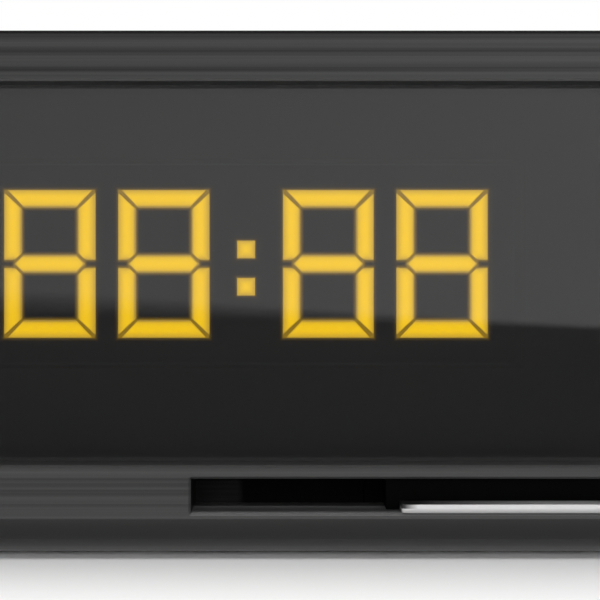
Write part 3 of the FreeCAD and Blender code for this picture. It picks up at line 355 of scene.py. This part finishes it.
# How fully a segment is lit, by distance in mm from its edge: on a digit's outside, and towards its
# middle.
GLOW_FROM_OUTSIDE = ((0.0, 0.55), (0.10, 0.59), (0.20, 0.70), (0.30, 0.80), (0.45, 0.89), (0.63, 1.0))
GLOW_FROM_MIDDLE = ((0.0, 0.30), (0.09, 0.47), (0.18, 0.72), (0.28, 0.85), (0.45, 0.92), (0.63, 1.0))
FULL_AMBERS = (tinted((0.98, 0.608, 0.0)), tinted((1.0, 0.62, 0.0)))
DARK_RIM = tinted((0.02, 0.03, 0.05))
UNLIT_AMBER = tinted((0.4, 0.27, 0.03))
PAINTED_LEAK_GLOW = tinted((0.6, 0.35, 0.0))
LEAK_REACH = 0.46 * MM          # how far the painted glow of leaked light reaches from a segment's edge into the housing
OUTER_LEAK = 0.4                # how much of it is left outside a digit


def from_segment_line(tree, with_ends):
    # The first value is the distance to the nearest centre line of a segment, or to the middle of a
    # colon dot. With the ends, it also grows from a little inside each end of a segment. The second
    # value is how far a place is outside the ring of a digit's outer centre lines.
    across = axis(tree, "X")
    up = axis(tree, "Z")
    low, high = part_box(DIGITS[0])
    side = smallest(tree, *[away_from(tree, across, middle(digit).x) for digit in DIGITS])
    level = away_from(tree, up, middle(DIGITS[0]).z)
    past_side = difference(tree, side, (high.x - low.x - SEGMENT_WIDTH) / 2)
    past_end = difference(tree, level, (high.z - low.z - SEGMENT_WIDTH) / 2)
    above_notch = difference(tree, SEGMENT_HALF + SEGMENT_NOTCH, level)
    upright = largest(tree, absolute(tree, past_side), past_end, above_notch)
    cap = largest(tree, absolute(tree, past_end), past_side)
    bar = largest(tree, level, total(tree, past_side, SEGMENT_HALF + TIP_INSET))
    nearest = smallest(tree, upright, cap, bar)
    if with_ends:
        nearest = largest(tree, nearest, *segment_ends(tree, past_side, past_end, level))
    nearest = smallest(tree, nearest, from_colon_dot(tree, across, up))
    return nearest, largest(tree, past_side, past_end)


def segment_ends(tree, past_side, past_end, level):
    # The distance past a digit's cut outer corners, and those to the slanting gaps at the corners and
    # at the middle bar, all counted so that a segment's edge is at half its width.
    past_corner = difference(tree, total(tree, past_side, past_end), SEGMENT_WIDTH - CORNER_CUT)
    ends = [total(tree, product(tree, past_corner, SLANT), SEGMENT_HALF)]
    for line in (difference(tree, past_side, past_end), total(tree, past_side, level)):
        reach = product(tree, absolute(tree, line), MITRE_STEEPNESS * SLANT)
        ends.append(difference(tree, SEGMENT_HALF + MITRE_STEEPNESS * MITRE_HALF, reach))
    return ends


def from_colon_dot(tree, across, up):
    low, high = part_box("colon_dots")
    spread = (high.z - low.z - (high.x - low.x)) / 2
    height = away_from(tree, away_from(tree, up, (low.z + high.z) / 2), spread)
    return largest(tree, height, away_from(tree, across, (low.x + high.x) / 2))


def lit_amber():
    # Segments glow evenly along their middle and fade towards their edges.
    material, tree, shader = new_material("lit_amber")
    full = blend_colours(tree, noise(tree, 400), *FULL_AMBERS)
    distance, outward = from_segment_line(tree, with_ends=True)
    inside = difference(tree, SEGMENT_HALF, distance)
    outer_half = rising(tree, outward, -0.02 * MM, 0.02 * MM)
    fullness = blend_colours(tree, outer_half, ramp(tree, inside, GLOW_FROM_MIDDLE),
                             ramp(tree, inside, GLOW_FROM_OUTSIDE))
    set_shader(tree, shader, Base_Color=UNLIT_AMBER, Roughness=0.4,
               Emission_Color=blend_colours(tree, fullness, DARK_RIM, full), Emission_Strength=5.45)
    return material


def housing_black():
    # The display's black housing, with a faint painted glow where light leaks round each segment, most
    # inside the digits.
    material = dull_black("housing_black")
    tree = material.node_tree
    distance, outward = from_segment_line(tree, with_ends=False)
    leak = falling(tree, distance, SEGMENT_HALF, SEGMENT_HALF + LEAK_REACH)
    outside = remap(tree, outward, SEGMENT_HALF, SEGMENT_HALF + 0.05 * MM, 1.0, OUTER_LEAK)
    # Emission painted on the housing as the glow of leaked light.
    light = blend_colours(tree, product(tree, leak, leak, outside), grey(0.0), PAINTED_LEAK_GLOW)
    set_shader(tree, shader_of(material), Emission_Color=light, Emission_Strength=2.4)
    return material


# ---- Plastics, paints and plated metals ----
PLASTIC_GRAIN = 900.0           # noise scales: higher is finer
METAL_GRAIN = 300.0
POWDER_GRAIN = 1000.0
GRAINS_TO_A_MOTTLE = 12
MOTTLE_RANGE = (0.3, 0.7)       # the ranges of noise in which a surface changes
GRAIN_RANGE = (0.35, 0.65)
HOLLOW_ROUGHNESS = 0.55         # of powder coat
PEAK_ROUGHNESS = 0.45
DULL_GREY = 0.0018
BEZEL_REFLECTED_STREAKS = (40, 1, 2600)
BEZEL_PAINTED_REFLECTION_GREYS = (grey(0.004), grey(0.013))


def moulded(name, colour, roughness, grain=PLASTIC_GRAIN, depth=0.02 * MM, spread=0.25, metallic=0.0):
    # Moulded or painted surface: fine grain in its height and a slight mottle in its colour.
    material, tree, shader = new_material(name)
    grains = noise(tree, grain, detail=4.0, roughness=0.6)
    mottle = noise(tree, grain / GRAINS_TO_A_MOTTLE, detail=2.0)
    mottled = blend_colours(tree, mottle, tinted(colour, 1 - spread), tinted(colour, 1 + spread))
    uneven = 0.4 * spread
    rough = remap(tree, mottle, *MOTTLE_RANGE, roughness * (1 - uneven),
                  min(1.0, roughness * (1 + uneven)))
    set_shader(tree, shader, Base_Color=mottled, Roughness=rough, Metallic=metallic)
    bump(tree, shader, grains, 0.3, depth)
    return material


def plated(name, colour, roughness, depth=0.01 * MM, spread=0.1):
    # Plated or bare metal, with a coarser and shallower grain.
    return moulded(name, colour, roughness, METAL_GRAIN, depth, spread, metallic=1.0)


def powder_coat(name, colour, contrast, depth):
    # Textured powder coat: fine bumps whose tops are a little smoother than the hollows, with painted
    # shade in the hollows and painted light on the tops.
    material, tree, shader = new_material(name)
    grains = noise(tree, POWDER_GRAIN, detail=2.0)
    tops = rising(tree, grains, *GRAIN_RANGE)
    # Painted shade in the hollows and painted light on the tops of the grain.
    uneven = blend_colours(tree, tops, tinted(colour, 1 - contrast), tinted(colour, 1 + contrast))
    rough = remap(tree, tops, 0.0, 1.0, HOLLOW_ROUGHNESS, PEAK_ROUGHNESS)
    set_shader(tree, shader, Base_Color=uneven, Roughness=rough)
    bump(tree, shader, grains, 0.5, depth)
    return material


def dull_black(name="dull_black"):
    # Matt black plastic behind the window and in the card slot, made to return almost no light.
    material = moulded(name, (DULL_GREY,) * 3, 0.9)
    set_shader(material.node_tree, shader_of(material), Specular_IOR_Level=0.05)
    return material


def bezel_black():
    # The bezel is as dull, but behind the slot's open end it carries a painted reflection of streaks,
    # a little lighter.
    material = dull_black("bezel_black")
    tree = material.node_tree
    streaks = noise(tree, BEZEL_REFLECTED_STREAKS, detail=2.0)
    painted_reflection = blend_colours(tree, rising(tree, streaks, *GRAIN_RANGE), *BEZEL_PAINTED_REFLECTION_GREYS)
    at_end = falling(tree, axis(tree, "X"), SLOT_END_X, SLOT_END_X + 0.6 * MM)
    behind_slot = falling(tree, axis(tree, "Z"), WINDOW_LOW.z, WINDOW_LOW.z + 0.1 * MM)
    # Painted reflection of the brushed streaks, only behind the slot's open end.
    colour = blend_colours(tree, product(tree, at_end, behind_slot), grey(DULL_GREY), painted_reflection)
    set_shader(tree, shader_of(material), Base_Color=colour)
    return material


# ---- The smart card ----
CARD_WHITES = (grey(0.70), grey(0.74))
CARD_LOWER_PAINTED_SHADE = grey(0.26)
CARD_PAINTED_SHADOW = grey(0.03)
CARD_BANDS = ((34, 52, (0.16, 0.34, 0.56)), (54, 57, (0.75, 0.42, 0.08)))    # from, to, and colour
CHIP_GOLDS = (tinted((0.78, 0.52, 0.17)), tinted((0.88, 0.62, 0.24)))
CHIP_GROOVE = grey(0.08)
GROOVE_SIDES = (0.08 * MM, 0.14 * MM)   # from the groove's middle
CHIP_ROW = 2.54 * MM
CHIP_COLUMN = 2.1 * MM                  # from the middle to the groove beside the contacts


def beyond(low, *distances):
    # Places at distances in mm from a low side.
    return [low + distance * MM for distance in distances]


def card_laminate():
    # White laminated card: printed bands across the top, painted shade along the lower edge, and a
    # painted shadow at its left end near the front, over the top face and the upper part of the front
    # edge by that corner.
    material, tree, shader = new_material("card_laminate")
    across = axis(tree, "X")
    away = axis(tree, "Y")
    up = axis(tree, "Z")
    cloud = noise(tree, 60)
    white = blend_colours(tree, cloud, *CARD_WHITES)
    for start, end, tint in CARD_BANDS:
        band = product(tree, rising(tree, away, *beyond(CARD_LOW.y, start, start + 0.1)),
                       falling(tree, away, *beyond(CARD_LOW.y, end, end + 0.1)))
        white = blend_colours(tree, band, white, tinted(tint))
    # Painted shadow over the left end of the top face and the upper part of the front edge by the left
    # corner, only near the card's front end.
    upper_face = product(tree, falling(tree, across, *beyond(CARD_LOW.x, 1.5, 13)),
                         rising(tree, axis(tree, "Z", "Normal"), 0.5, 0.6))
    tip = product(tree, falling(tree, across, *beyond(CARD_LOW.x, 0.3, 1.5)),
                  rising(tree, up, *beyond(CARD_LOW.z, 0.36, 0.42)))
    near_end = falling(tree, away, *beyond(CARD_LOW.y, 2, 8))
    painted_shadow = product(tree, largest(tree, upper_face, tip), near_end)
    white = blend_colours(tree, painted_shadow, white, CARD_PAINTED_SHADOW)
    # Painted shade along the card's lower edge, fading out upward over 0.45 mm.
    lower_shade_fade = rising(tree, up, *beyond(CARD_LOW.z, 0, 0.45))
    set_shader(tree, shader, Base_Color=blend_colours(tree, lower_shade_fade, CARD_LOWER_PAINTED_SHADE, white), Roughness=0.4)
    bump(tree, shader, cloud, 0.05, 0.01 * MM)
    return material


def chip_gold():
    # The card's contact plate: eight fields parted by narrow dark grooves.
    material, tree, shader = new_material("chip_gold")
    centre = middle("card_chip")
    metal = blend_colours(tree, noise(tree, 500), *CHIP_GOLDS)
    across = away_from(tree, axis(tree, "X"), centre.x)
    away = away_from(tree, axis(tree, "Y"), centre.y)
    for distance, place in ((away, 0.0), (away, CHIP_ROW), (across, CHIP_COLUMN)):
        groove = falling(tree, away_from(tree, distance, place), *GROOVE_SIDES)
        metal = blend_colours(tree, groove, metal, CHIP_GROOVE)
    set_shader(tree, shader, Base_Color=metal, Roughness=0.28, Metallic=1.0)
    return material


# ---- The sockets ----
PHONO_RED = (0.55, 0.015, 0.012)
PHONO_WHITE = (0.8, 0.8, 0.77)
PHONO_YELLOW = (0.85, 0.56, 0.02)
THREAD_NICKELS = (tinted((0.36, 0.345, 0.32)), tinted((0.48, 0.465, 0.435)))
THREAD_DEPTH = 0.25 * MM
HALF_TURN = 0.397 * MM          # half of one turn of a thread with 32 turns to the inch


def phono_plastic():
    # The three phono sockets: red, white and yellow from left to right, told apart by their place.
    material, tree, shader = new_material("phono_plastic")
    low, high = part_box("rca_inserts")
    third = (high.x - low.x) / 3
    mottle = noise(tree, 300)
    across = axis(tree, "X")
    colour = tinted(PHONO_RED)
    for start, tint in ((low.x + third, PHONO_WHITE), (high.x - third, PHONO_YELLOW)):
        in_place = rising(tree, across, start, start + 0.1 * MM)
        colour = blend_colours(tree, in_place, colour, tinted(tint))
    rough = remap(tree, mottle, *MOTTLE_RANGE, 0.32, 0.42)
    set_shader(tree, shader, Base_Color=colour, Roughness=rough)
    bump(tree, shader, mottle, 0.1, 0.01 * MM)
    return material


def threaded_nickel():
    # Nickel plating over the fine thread cut along the aerial connectors.
    material, tree, shader = new_material("threaded_nickel")
    plating = blend_colours(tree, noise(tree, 300), *THREAD_NICKELS)
    set_shader(tree, shader, Base_Color=plating, Roughness=0.25, Metallic=1.0)
    thread = quotient(tree, arithmetic(tree, "PINGPONG", axis(tree, "Y"), HALF_TURN), HALF_TURN)
    bump(tree, shader, thread, 1.0, THREAD_DEPTH)
    return material


# Slots whose finish is a plain moulding, paint or metal.
MOULDED = {
    "black_plastic": dict(colour=(0.022, 0.022, 0.023), roughness=0.5),
    "rubber": dict(colour=(0.02, 0.02, 0.02), roughness=0.8),
    "board_green": dict(colour=(0.01, 0.11, 0.04), roughness=0.35),
    "board_tan": dict(colour=(0.32, 0.2, 0.08), roughness=0.5),
    "clear_ring": dict(colour=(0.55, 0.57, 0.6), roughness=0.3, depth=0.004 * MM, spread=0.05),
    "key_plastic": dict(colour=(0.06, 0.06, 0.062), roughness=0.3, depth=0.006 * MM, spread=0.1),
    "white_plastic": dict(colour=(0.8, 0.8, 0.76), roughness=0.45, spread=0.03),
    "ferrite": dict(colour=(0.07, 0.07, 0.075), roughness=0.7),
    "winding_tape": dict(colour=(0.75, 0.52, 0.06), roughness=0.35, spread=0.08),
    "capacitor_sleeve": dict(colour=(0.02, 0.03, 0.08), roughness=0.3),
    "chip_black": dict(colour=(0.02, 0.02, 0.02), roughness=0.6),
    "sink": dict(colour=(0.06, 0.06, 0.06), roughness=0.45, metallic=1.0),
    "wire_insulation": dict(colour=(0.5, 0.03, 0.02), roughness=0.4),
    "ribbon_grey": dict(colour=(0.5, 0.5, 0.5), roughness=0.5),
    "ir_black": dict(colour=(0.03, 0.008, 0.012), roughness=0.1, depth=0.002 * MM),
}
POWDER_COATED = {
    "cover_paint": dict(colour=(0.03, 0.03, 0.031), contrast=0.28, depth=0.05 * MM),
    "panel_paint": dict(colour=(0.045, 0.045, 0.047), contrast=0.15, depth=0.03 * MM),
}
PLATED = {
    "zinc_steel": dict(colour=(0.55, 0.56, 0.56), roughness=0.35),
    "screw_black": dict(colour=(0.1, 0.1, 0.1), roughness=0.35, spread=0.15),
    "screw_zinc": dict(colour=(0.45, 0.45, 0.43), roughness=0.3),
    "gold": dict(colour=(0.83, 0.58, 0.2), roughness=0.25, depth=0.004 * MM, spread=0.08),
    "nickel": dict(colour=(0.42, 0.405, 0.38), roughness=0.26, depth=0.006 * MM, spread=0.12),
}

MATERIALS = {"brushed_metal": brushed_metal(), "smoked_window": smoked_window(),
             "amber": lit_amber(), "dull_black": dull_black(),
             "card_white": card_laminate(), "rca_colours": phono_plastic()}
for make, looks in ((moulded, MOULDED), (powder_coat, POWDER_COATED), (plated, PLATED)):
    MATERIALS.update({slot: make(slot, **look) for slot, look in looks.items()})

# Nodes that have a material of their own and not their slot's.
OWN_MATERIALS = {"card_chip": chip_gold(), "f_connectors": threaded_nickel(),
                 "display_housing": housing_black(), "front_bezel": bezel_black()}

for part in frame["record"]["subparts"]:
    data = NODES[part["node"]].data
    data.materials.clear()
    data.materials.append(OWN_MATERIALS.get(part["node"], MATERIALS[part["material_slot"]]))


# ---- Shapes of the printed marks and the contacts ----
PRINT_HEIGHT = 0.03 * MM
PRINT_SLOT = "white_plastic"


def add_piece(name, solids, body, slot):
    # solids: (outline, height, place), where place(u, v, w) gives a point and the outline is in u
    # and v.
    shape = bmesh.new()
    for outline, height, place in solids:
        lower = [shape.verts.new(place(u, v, 0.0)) for u, v in outline]
        upper = [shape.verts.new(place(u, v, height)) for u, v in outline]
        shape.faces.new(lower[::-1])
        shape.faces.new(upper)
        count = len(outline)
        for number in range(count):
            after = (number + 1) % count
            shape.faces.new((lower[number], lower[after], upper[after], upper[number]))
    bmesh.ops.recalc_face_normals(shape, faces=shape.faces)
    mesh = bpy.data.meshes.new(name)
    shape.to_mesh(mesh)
    shape.free()
    mesh.materials.append(MATERIALS[slot])
    piece = bpy.data.objects.new(name, mesh)
    bpy.context.scene.collection.objects.link(piece)
    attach(piece, body)


def add_print(name, outlines, place, body):
    add_piece(name, [(outline, PRINT_HEIGHT, place) for outline in outlines], body, PRINT_SLOT)


def on_front(x, y, z):
    # A surface that faces the front.
    return lambda u, v, w: Vector((x + u, y - w, z + v))


def on_back(x, y, z):
    # A surface that faces the back; u runs to the right as seen from there.
    return lambda u, v, w: Vector((x - u, y + w, z + v))


def on_top(x, y, z):
    # A surface that faces up, seen from the front.
    return lambda u, v, w: Vector((x + u, y + v, z + w))


def on_front_of(node):
    centre = middle(node)
    return on_front(centre.x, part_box(node)[0].y, centre.z)


def rectangle(u0, u1, v0, v1):
    return [(u0, v0), (u1, v0), (u1, v1), (u0, v1)]


def arrow_up(half_width, foot, tip):
    return [(-half_width, foot), (half_width, foot), (0.0, tip)]


def arc_band(inner, outer, start, end, steps=24):
    angles = [math.radians(start + (end - start) * number / steps) for number in range(steps + 1)]
    band = [(outer * math.cos(angle), outer * math.sin(angle)) for angle in angles]
    return band + [(inner * math.cos(angle), inner * math.sin(angle)) for angle in reversed(angles)]


def turned(outline, degrees):
    c = math.cos(math.radians(degrees))
    t = math.sin(math.radians(degrees))
    return [(u * c - v * t, u * t + v * c) for u, v in outline]


def frame_bars(low_u, high_u, low_v, high_v, width):
    return [rectangle(low_u, high_u, low_v, low_v + width),
            rectangle(low_u, high_u, high_v - width, high_v),
            rectangle(low_u, low_u + width, low_v + width, high_v - width),
            rectangle(high_u - width, high_u, low_v + width, high_v - width)]


def contact_row(count, pitch, width, low, height, length, place):
    # Equal bars, centred side by side in u. Each goes up from low in v by its height, and out from the
    # place by its length.
    middles = [(number - (count - 1) / 2) * pitch for number in range(count)]
    return [(rectangle(u - width / 2, u + width / 2, low, low + height), length, place)
            for u in middles]


# ---- The printed marks ----
def add_key_marks():
    arrow = arrow_up(1.5 * MM, -0.8 * MM, 1.1 * MM)
    for key, degrees in (("key_up", 0), ("key_left", 90), ("key_down", 180), ("key_right", 270)):
        add_print(key + "_arrow", [turned(arrow, degrees)], on_front_of(key), key + "_body")
    ring = arc_band(1.8 * MM, 2.25 * MM, 130, 410)
    bar = rectangle(-0.22 * MM, 0.22 * MM, 0.5 * MM, 2.7 * MM)
    add_print("power_symbol", [ring, bar], on_front_of("power_button"), "power_button_body")


def add_ok_letters():
    # The letters on the middle key.
    centre = middle("key_ok")
    text = bpy.data.curves.new("key_ok_letters", "FONT")
    text.body = "OK"
    text.size = 3.4 * MM
    text.align_x = "CENTER"
    text.align_y = "CENTER"
    text.extrude = PRINT_HEIGHT / 2
    text.materials.append(MATERIALS[PRINT_SLOT])
    letters = bpy.data.objects.new("key_ok_letters", text)
    letters.location = (centre.x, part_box("key_ok")[0].y - PRINT_HEIGHT / 2, centre.z)
    letters.rotation_euler = (math.radians(90), 0, 0)
    bpy.context.scene.collection.objects.link(letters)
    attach(letters, "key_ok_body")


ROCKER_TILT = math.radians(-10)         # of the whole switch, at rest
ROCKER_SLOPE = math.atan2(1.4, 7.0)     # of each half's face, down to the middle
HALF_OUT = 3.3 * MM                     # the middle of a half's face, out from the pivot
HALF_AWAY = 3.6 * MM                    # and above or below it


def on_rocker(half):
    # The face of the rear switch's upper half (1) or lower half (-1).
    centre = Vector((0.0, HALF_OUT, half * HALF_AWAY))
    up = Vector((0.0, half * math.sin(ROCKER_SLOPE), math.cos(ROCKER_SLOPE)))
    out = Vector((0.0, math.cos(ROCKER_SLOPE), -half * math.sin(ROCKER_SLOPE)))
    turn = Matrix.Rotation(ROCKER_TILT, 3, "X")

    def place(u, v, w):
        return ROCKER_PIVOT + turn @ (centre + up * v + out * w) + Vector((-u, 0.0, 0.0))
    return place


def add_rocker_marks():
    # A bar on the upper half and a ring on the lower one.
    bar = rectangle(-0.25 * MM, 0.25 * MM, -1.3 * MM, 1.3 * MM)
    half_rings = [arc_band(0.95 * MM, 1.4 * MM, start, start + 180) for start in (0, 180)]
    solids = [(bar, PRINT_HEIGHT, on_rocker(1))]
    solids += [(half_ring, PRINT_HEIGHT, on_rocker(-1)) for half_ring in half_rings]
    add_piece("rocker_marks", solids, "rocker_body", PRINT_SLOT)


def add_panel_lines():
    # A fine printed frame round each group of sockets on the rear panel, with more room above.
    margin = 0.7 * MM
    bars = []
    for node in ("f_nuts", "ethernet_socket", "hdmi_socket", "rca_inserts", "scart_shell"):
        low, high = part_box(node)
        bars += frame_bars(-(high.x + margin), -(low.x - margin), low.z - margin,
                           high.z + 2.5 * margin, 0.25 * MM)
    add_print("panel_lines", bars, on_back(0.0, PANEL_Y, 0.0), "receiver")


def add_card_arrow():
    # The printed arrow that shows which way the card goes in.
    arrow = arrow_up(5 * MM, 0.0, 8 * MM)
    place = on_top(middle("smart_card").x, CARD_LOW.y + 18 * MM, CARD_HIGH.z)
    add_piece("card_arrow", [(arrow, 0.01 * MM, place)], "card_body", "chip_black")


# ---- The contacts in the sockets ----
def add_ethernet_contacts():
    centre = middle("ethernet_socket")
    place = on_back(centre.x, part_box("ethernet_socket")[1].y - 10 * MM, centre.z + 3.0 * MM)
    wires = contact_row(8, pitch=1.02 * MM, width=0.408 * MM, low=0.0, height=0.45 * MM,
                        length=7 * MM, place=place)
    add_piece("ethernet_contacts", wires, "receiver", "gold")


def add_usb_contacts():
    centre = middle("usb_tongue")
    place = on_front(centre.x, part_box("usb_tongue")[0].y + 9 * MM, centre.z - 1.0 * MM)
    pads = contact_row(4, pitch=2.4 * MM, width=1.0 * MM, low=0.0, height=0.06 * MM,
                       length=8.6 * MM, place=place)
    add_piece("usb_contacts", pads, "receiver", "gold")


def add_scart_contacts():
    # Two rows, the lower one a quarter of the pitch to one side and the upper one to the other.
    centre = middle("scart_shell")
    inner_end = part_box("scart_core")[1].y - 6 * MM
    blades = []
    for row in (-1, 1):
        place = on_back(centre.x + row * 0.95 * MM, inner_end, centre.z + row * 1.92 * MM)
        blades += contact_row(10, pitch=3.81 * MM, width=0.5 * MM, low=-1.3 * MM, height=2.6 * MM,
                              length=5.2 * MM, place=place)
    add_piece("scart_contacts", blades, "receiver", "gold")


def add_hdmi_contacts():
    # A black tongue with ten contacts on its upper side and nine on its lower one.
    centre = middle("hdmi_socket")
    place = on_back(centre.x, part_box("hdmi_socket")[1].y - 10 * MM, centre.z)
    half_height = 0.75 * MM
    tongue = rectangle(-5.8 * MM, 5.8 * MM, -half_height, half_height)
    add_piece("hdmi_tongue", [(tongue, 9.6 * MM, place)], "receiver", "black_plastic")
    thickness = 0.05 * MM
    strips = []
    for count, low in ((10, half_height), (9, -half_height - thickness)):
        strips += contact_row(count, pitch=1.0 * MM, width=0.4 * MM, low=low, height=thickness,
                              length=9.3 * MM, place=place)
    add_piece("hdmi_contacts", strips, "receiver", "gold")


add_key_marks()
add_ok_letters()
add_rocker_marks()
add_panel_lines()
add_ethernet_contacts()
add_usb_contacts()
add_scart_contacts()
add_hdmi_contacts()
add_card_arrow()


# ---- Studio ----
FLOOR_SIDE = 6.0
FLOOR_GREYS = (grey(0.89), grey(0.91))
FAR_OFF = (0.4, 1.3)            # from the origin, where the floor goes over to plain white
MATT_LIGHT = 0.25               # the world's strength for matt surfaces
LEFT_GLOW = 0.76
RIGHT_GLOW = 1.10
DARK_GLOW = 0.1                 # overhead, and behind at the horizon

# The table card's level, its nearest and furthest places in front of the window, and its half width.
TABLE_CARD_LEVEL = 0.5 * MM
TABLE_CARD_NEAR = 70 * MM
TABLE_CARD_FAR = 12.0
TABLE_CARD_HALF_WIDTH = 6.0
# How far in front of the window its white part starts, at two places across, and no nearer than the
# third value. Then how softly it starts, as a share of that, at two other places across.
EDGE_ACROSS = (-0.225, 0.041)
EDGE_AWAY = (1.008, 0.559)
EDGE_NEAREST = 0.2
SOFTNESS_ACROSS = (-0.30, 0.05)
SOFTNESS = (0.33, 0.085)


def glow_by_side(tree, across):
    # The room is a little brighter to the right, as its reflection in the window shows.
    return remap(tree, across, -0.25, 0.25, LEFT_GLOW, RIGHT_GLOW)


def make_world():
    # White to the eye, and dim to matt surfaces. Reflections find it white in front near the horizon,
    # dark overhead, and behind the receiver dark at the horizon under a white upper wall.
    world = bpy.data.worlds.new("studio")
    bpy.context.scene.world = world
    world.use_nodes = True
    tree = world.node_tree
    up = axis(tree, "Z", "Generated")
    overhead = remap(tree, up, 0.2, 0.9, 1.0, DARK_GLOW)
    upper_wall = remap(tree, up, 0.05, 0.35, DARK_GLOW, 1.0)
    behind = rising(tree, axis(tree, "Y", "Generated"), 0.0, 0.3)
    dimmed = difference(tree, 1.0, product(tree, behind, difference(tree, 1.0, upper_wall)))
    mirrored = product(tree, overhead, dimmed, glow_by_side(tree, axis(tree, "X", "Generated")))
    rays = tree.nodes.new("ShaderNodeLightPath").outputs
    bent = largest(tree, rays["Is Glossy Ray"], rays["Is Transmission Ray"])
    strength = largest(tree, rays["Is Camera Ray"], product(tree, bent, mirrored),
                       product(tree, rays["Is Diffuse Ray"], MATT_LIGHT))
    background = tree.nodes["Background"]
    background.inputs["Color"].default_value = (1, 1, 1, 1)
    tree.links.new(strength, background.inputs["Strength"])


def show_white_far_off(tree, shader):
    # Far from the object, where the lamps don't reach, the floor is white to the eye like the world.
    place = tree.nodes.new("ShaderNodeTexCoord")
    length = tree.nodes.new("ShaderNodeVectorMath")
    length.operation = "LENGTH"
    tree.links.new(place.outputs["Object"], length.inputs[0])
    rays = tree.nodes.new("ShaderNodeLightPath").outputs
    far_off = product(tree, rising(tree, length.outputs["Value"], *FAR_OFF), rays["Is Camera Ray"])
    white = tree.nodes.new("ShaderNodeEmission")
    both = tree.nodes.new("ShaderNodeMixShader")
    tree.links.new(far_off, both.inputs[0])
    tree.links.new(shader.outputs["BSDF"], both.inputs[1])
    tree.links.new(white.outputs["Emission"], both.inputs[2])
    tree.links.new(both.outputs["Shader"], tree.nodes["Material Output"].inputs["Surface"])


def make_floor():
    bpy.ops.mesh.primitive_plane_add(size=FLOOR_SIDE, location=(0, 0, 0))
    floor = bpy.context.object
    floor.name = "floor"
    material, tree, shader = new_material("floor")
    set_shader(tree, shader, Base_Color=blend_colours(tree, noise(tree, 2), *FLOOR_GREYS),
               Roughness=0.9, Specular_IOR_Level=0.0)
    show_white_far_off(tree, shader)
    floor.data.materials.append(material)


def table_card_material():
    # Black up to a slanting edge, which is softer to the left, and then as white as the room.
    material = bpy.data.materials.new("table_card")
    material.use_nodes = True
    tree = material.node_tree
    tree.nodes.clear()
    across = axis(tree, "X")
    away = difference(tree, WINDOW_LOW.y, axis(tree, "Y"))
    edge = largest(tree, remap(tree, across, *EDGE_ACROSS, *EDGE_AWAY, clamp=False), EDGE_NEAREST)
    softness = remap(tree, across, *SOFTNESS_ACROSS, *SOFTNESS)
    past_edge = quotient(tree, difference(tree, quotient(tree, away, edge), 1.0), softness)
    sideways = quotient(tree, difference(tree, across, CAMERA_X),
                        total(tree, away, CAMERA_DISTANCE))
    emission = tree.nodes.new("ShaderNodeEmission")
    tree.links.new(product(tree, rising(tree, past_edge, -1.0, 1.0), glow_by_side(tree, sideways)),
                   emission.inputs["Strength"])
    output = tree.nodes.new("ShaderNodeOutputMaterial")
    tree.links.new(emission.outputs["Emission"], output.inputs["Surface"])
    return material


def make_table_card():
    # A long card low in front of the receiver, seen only in mirrors. It darkens the window's lower
    # half as the table before the receiver does.
    near = WINDOW_LOW.y - TABLE_CARD_NEAR
    far = WINDOW_LOW.y - TABLE_CARD_FAR
    corners = rectangle(-TABLE_CARD_HALF_WIDTH, TABLE_CARD_HALF_WIDTH, near, far)
    mesh = bpy.data.meshes.new("table_card")
    mesh.from_pydata([(x, y, TABLE_CARD_LEVEL) for x, y in corners], [], [(0, 1, 2, 3)])
    mesh.materials.append(table_card_material())
    card = bpy.data.objects.new("table_card", mesh)
    bpy.context.scene.collection.objects.link(card)
    card.visible_camera = False
    card.visible_diffuse = False
    card.visible_shadow = False


def make_lamp(name, location, aim, size, power):
    data = bpy.data.lights.new(name, "AREA")
    data.shape = "RECTANGLE"
    data.size, data.size_y = size
    data.energy = power
    lamp = bpy.data.objects.new(name, data)
    bpy.context.scene.collection.objects.link(lamp)
    lamp.location = location
    lamp.rotation_euler = (Vector(aim) - Vector(location)).to_track_quat("-Z", "Y").to_euler()
    lamp.visible_glossy = False
    lamp.visible_transmission = False


make_camera()
make_world()
make_floor()
make_table_card()
make_lamp("softbox", location=(0, 0, 1.4), aim=(0, 0, 0), size=(1.6, 0.9), power=19.5)
make_lamp("front_fill", location=(-0.1, -1.6, 0.35), aim=(-0.05, 0, 0.02), size=(1.0, 0.5), power=10)
bpy.context.scene.view_settings.view_transform = "Standard"
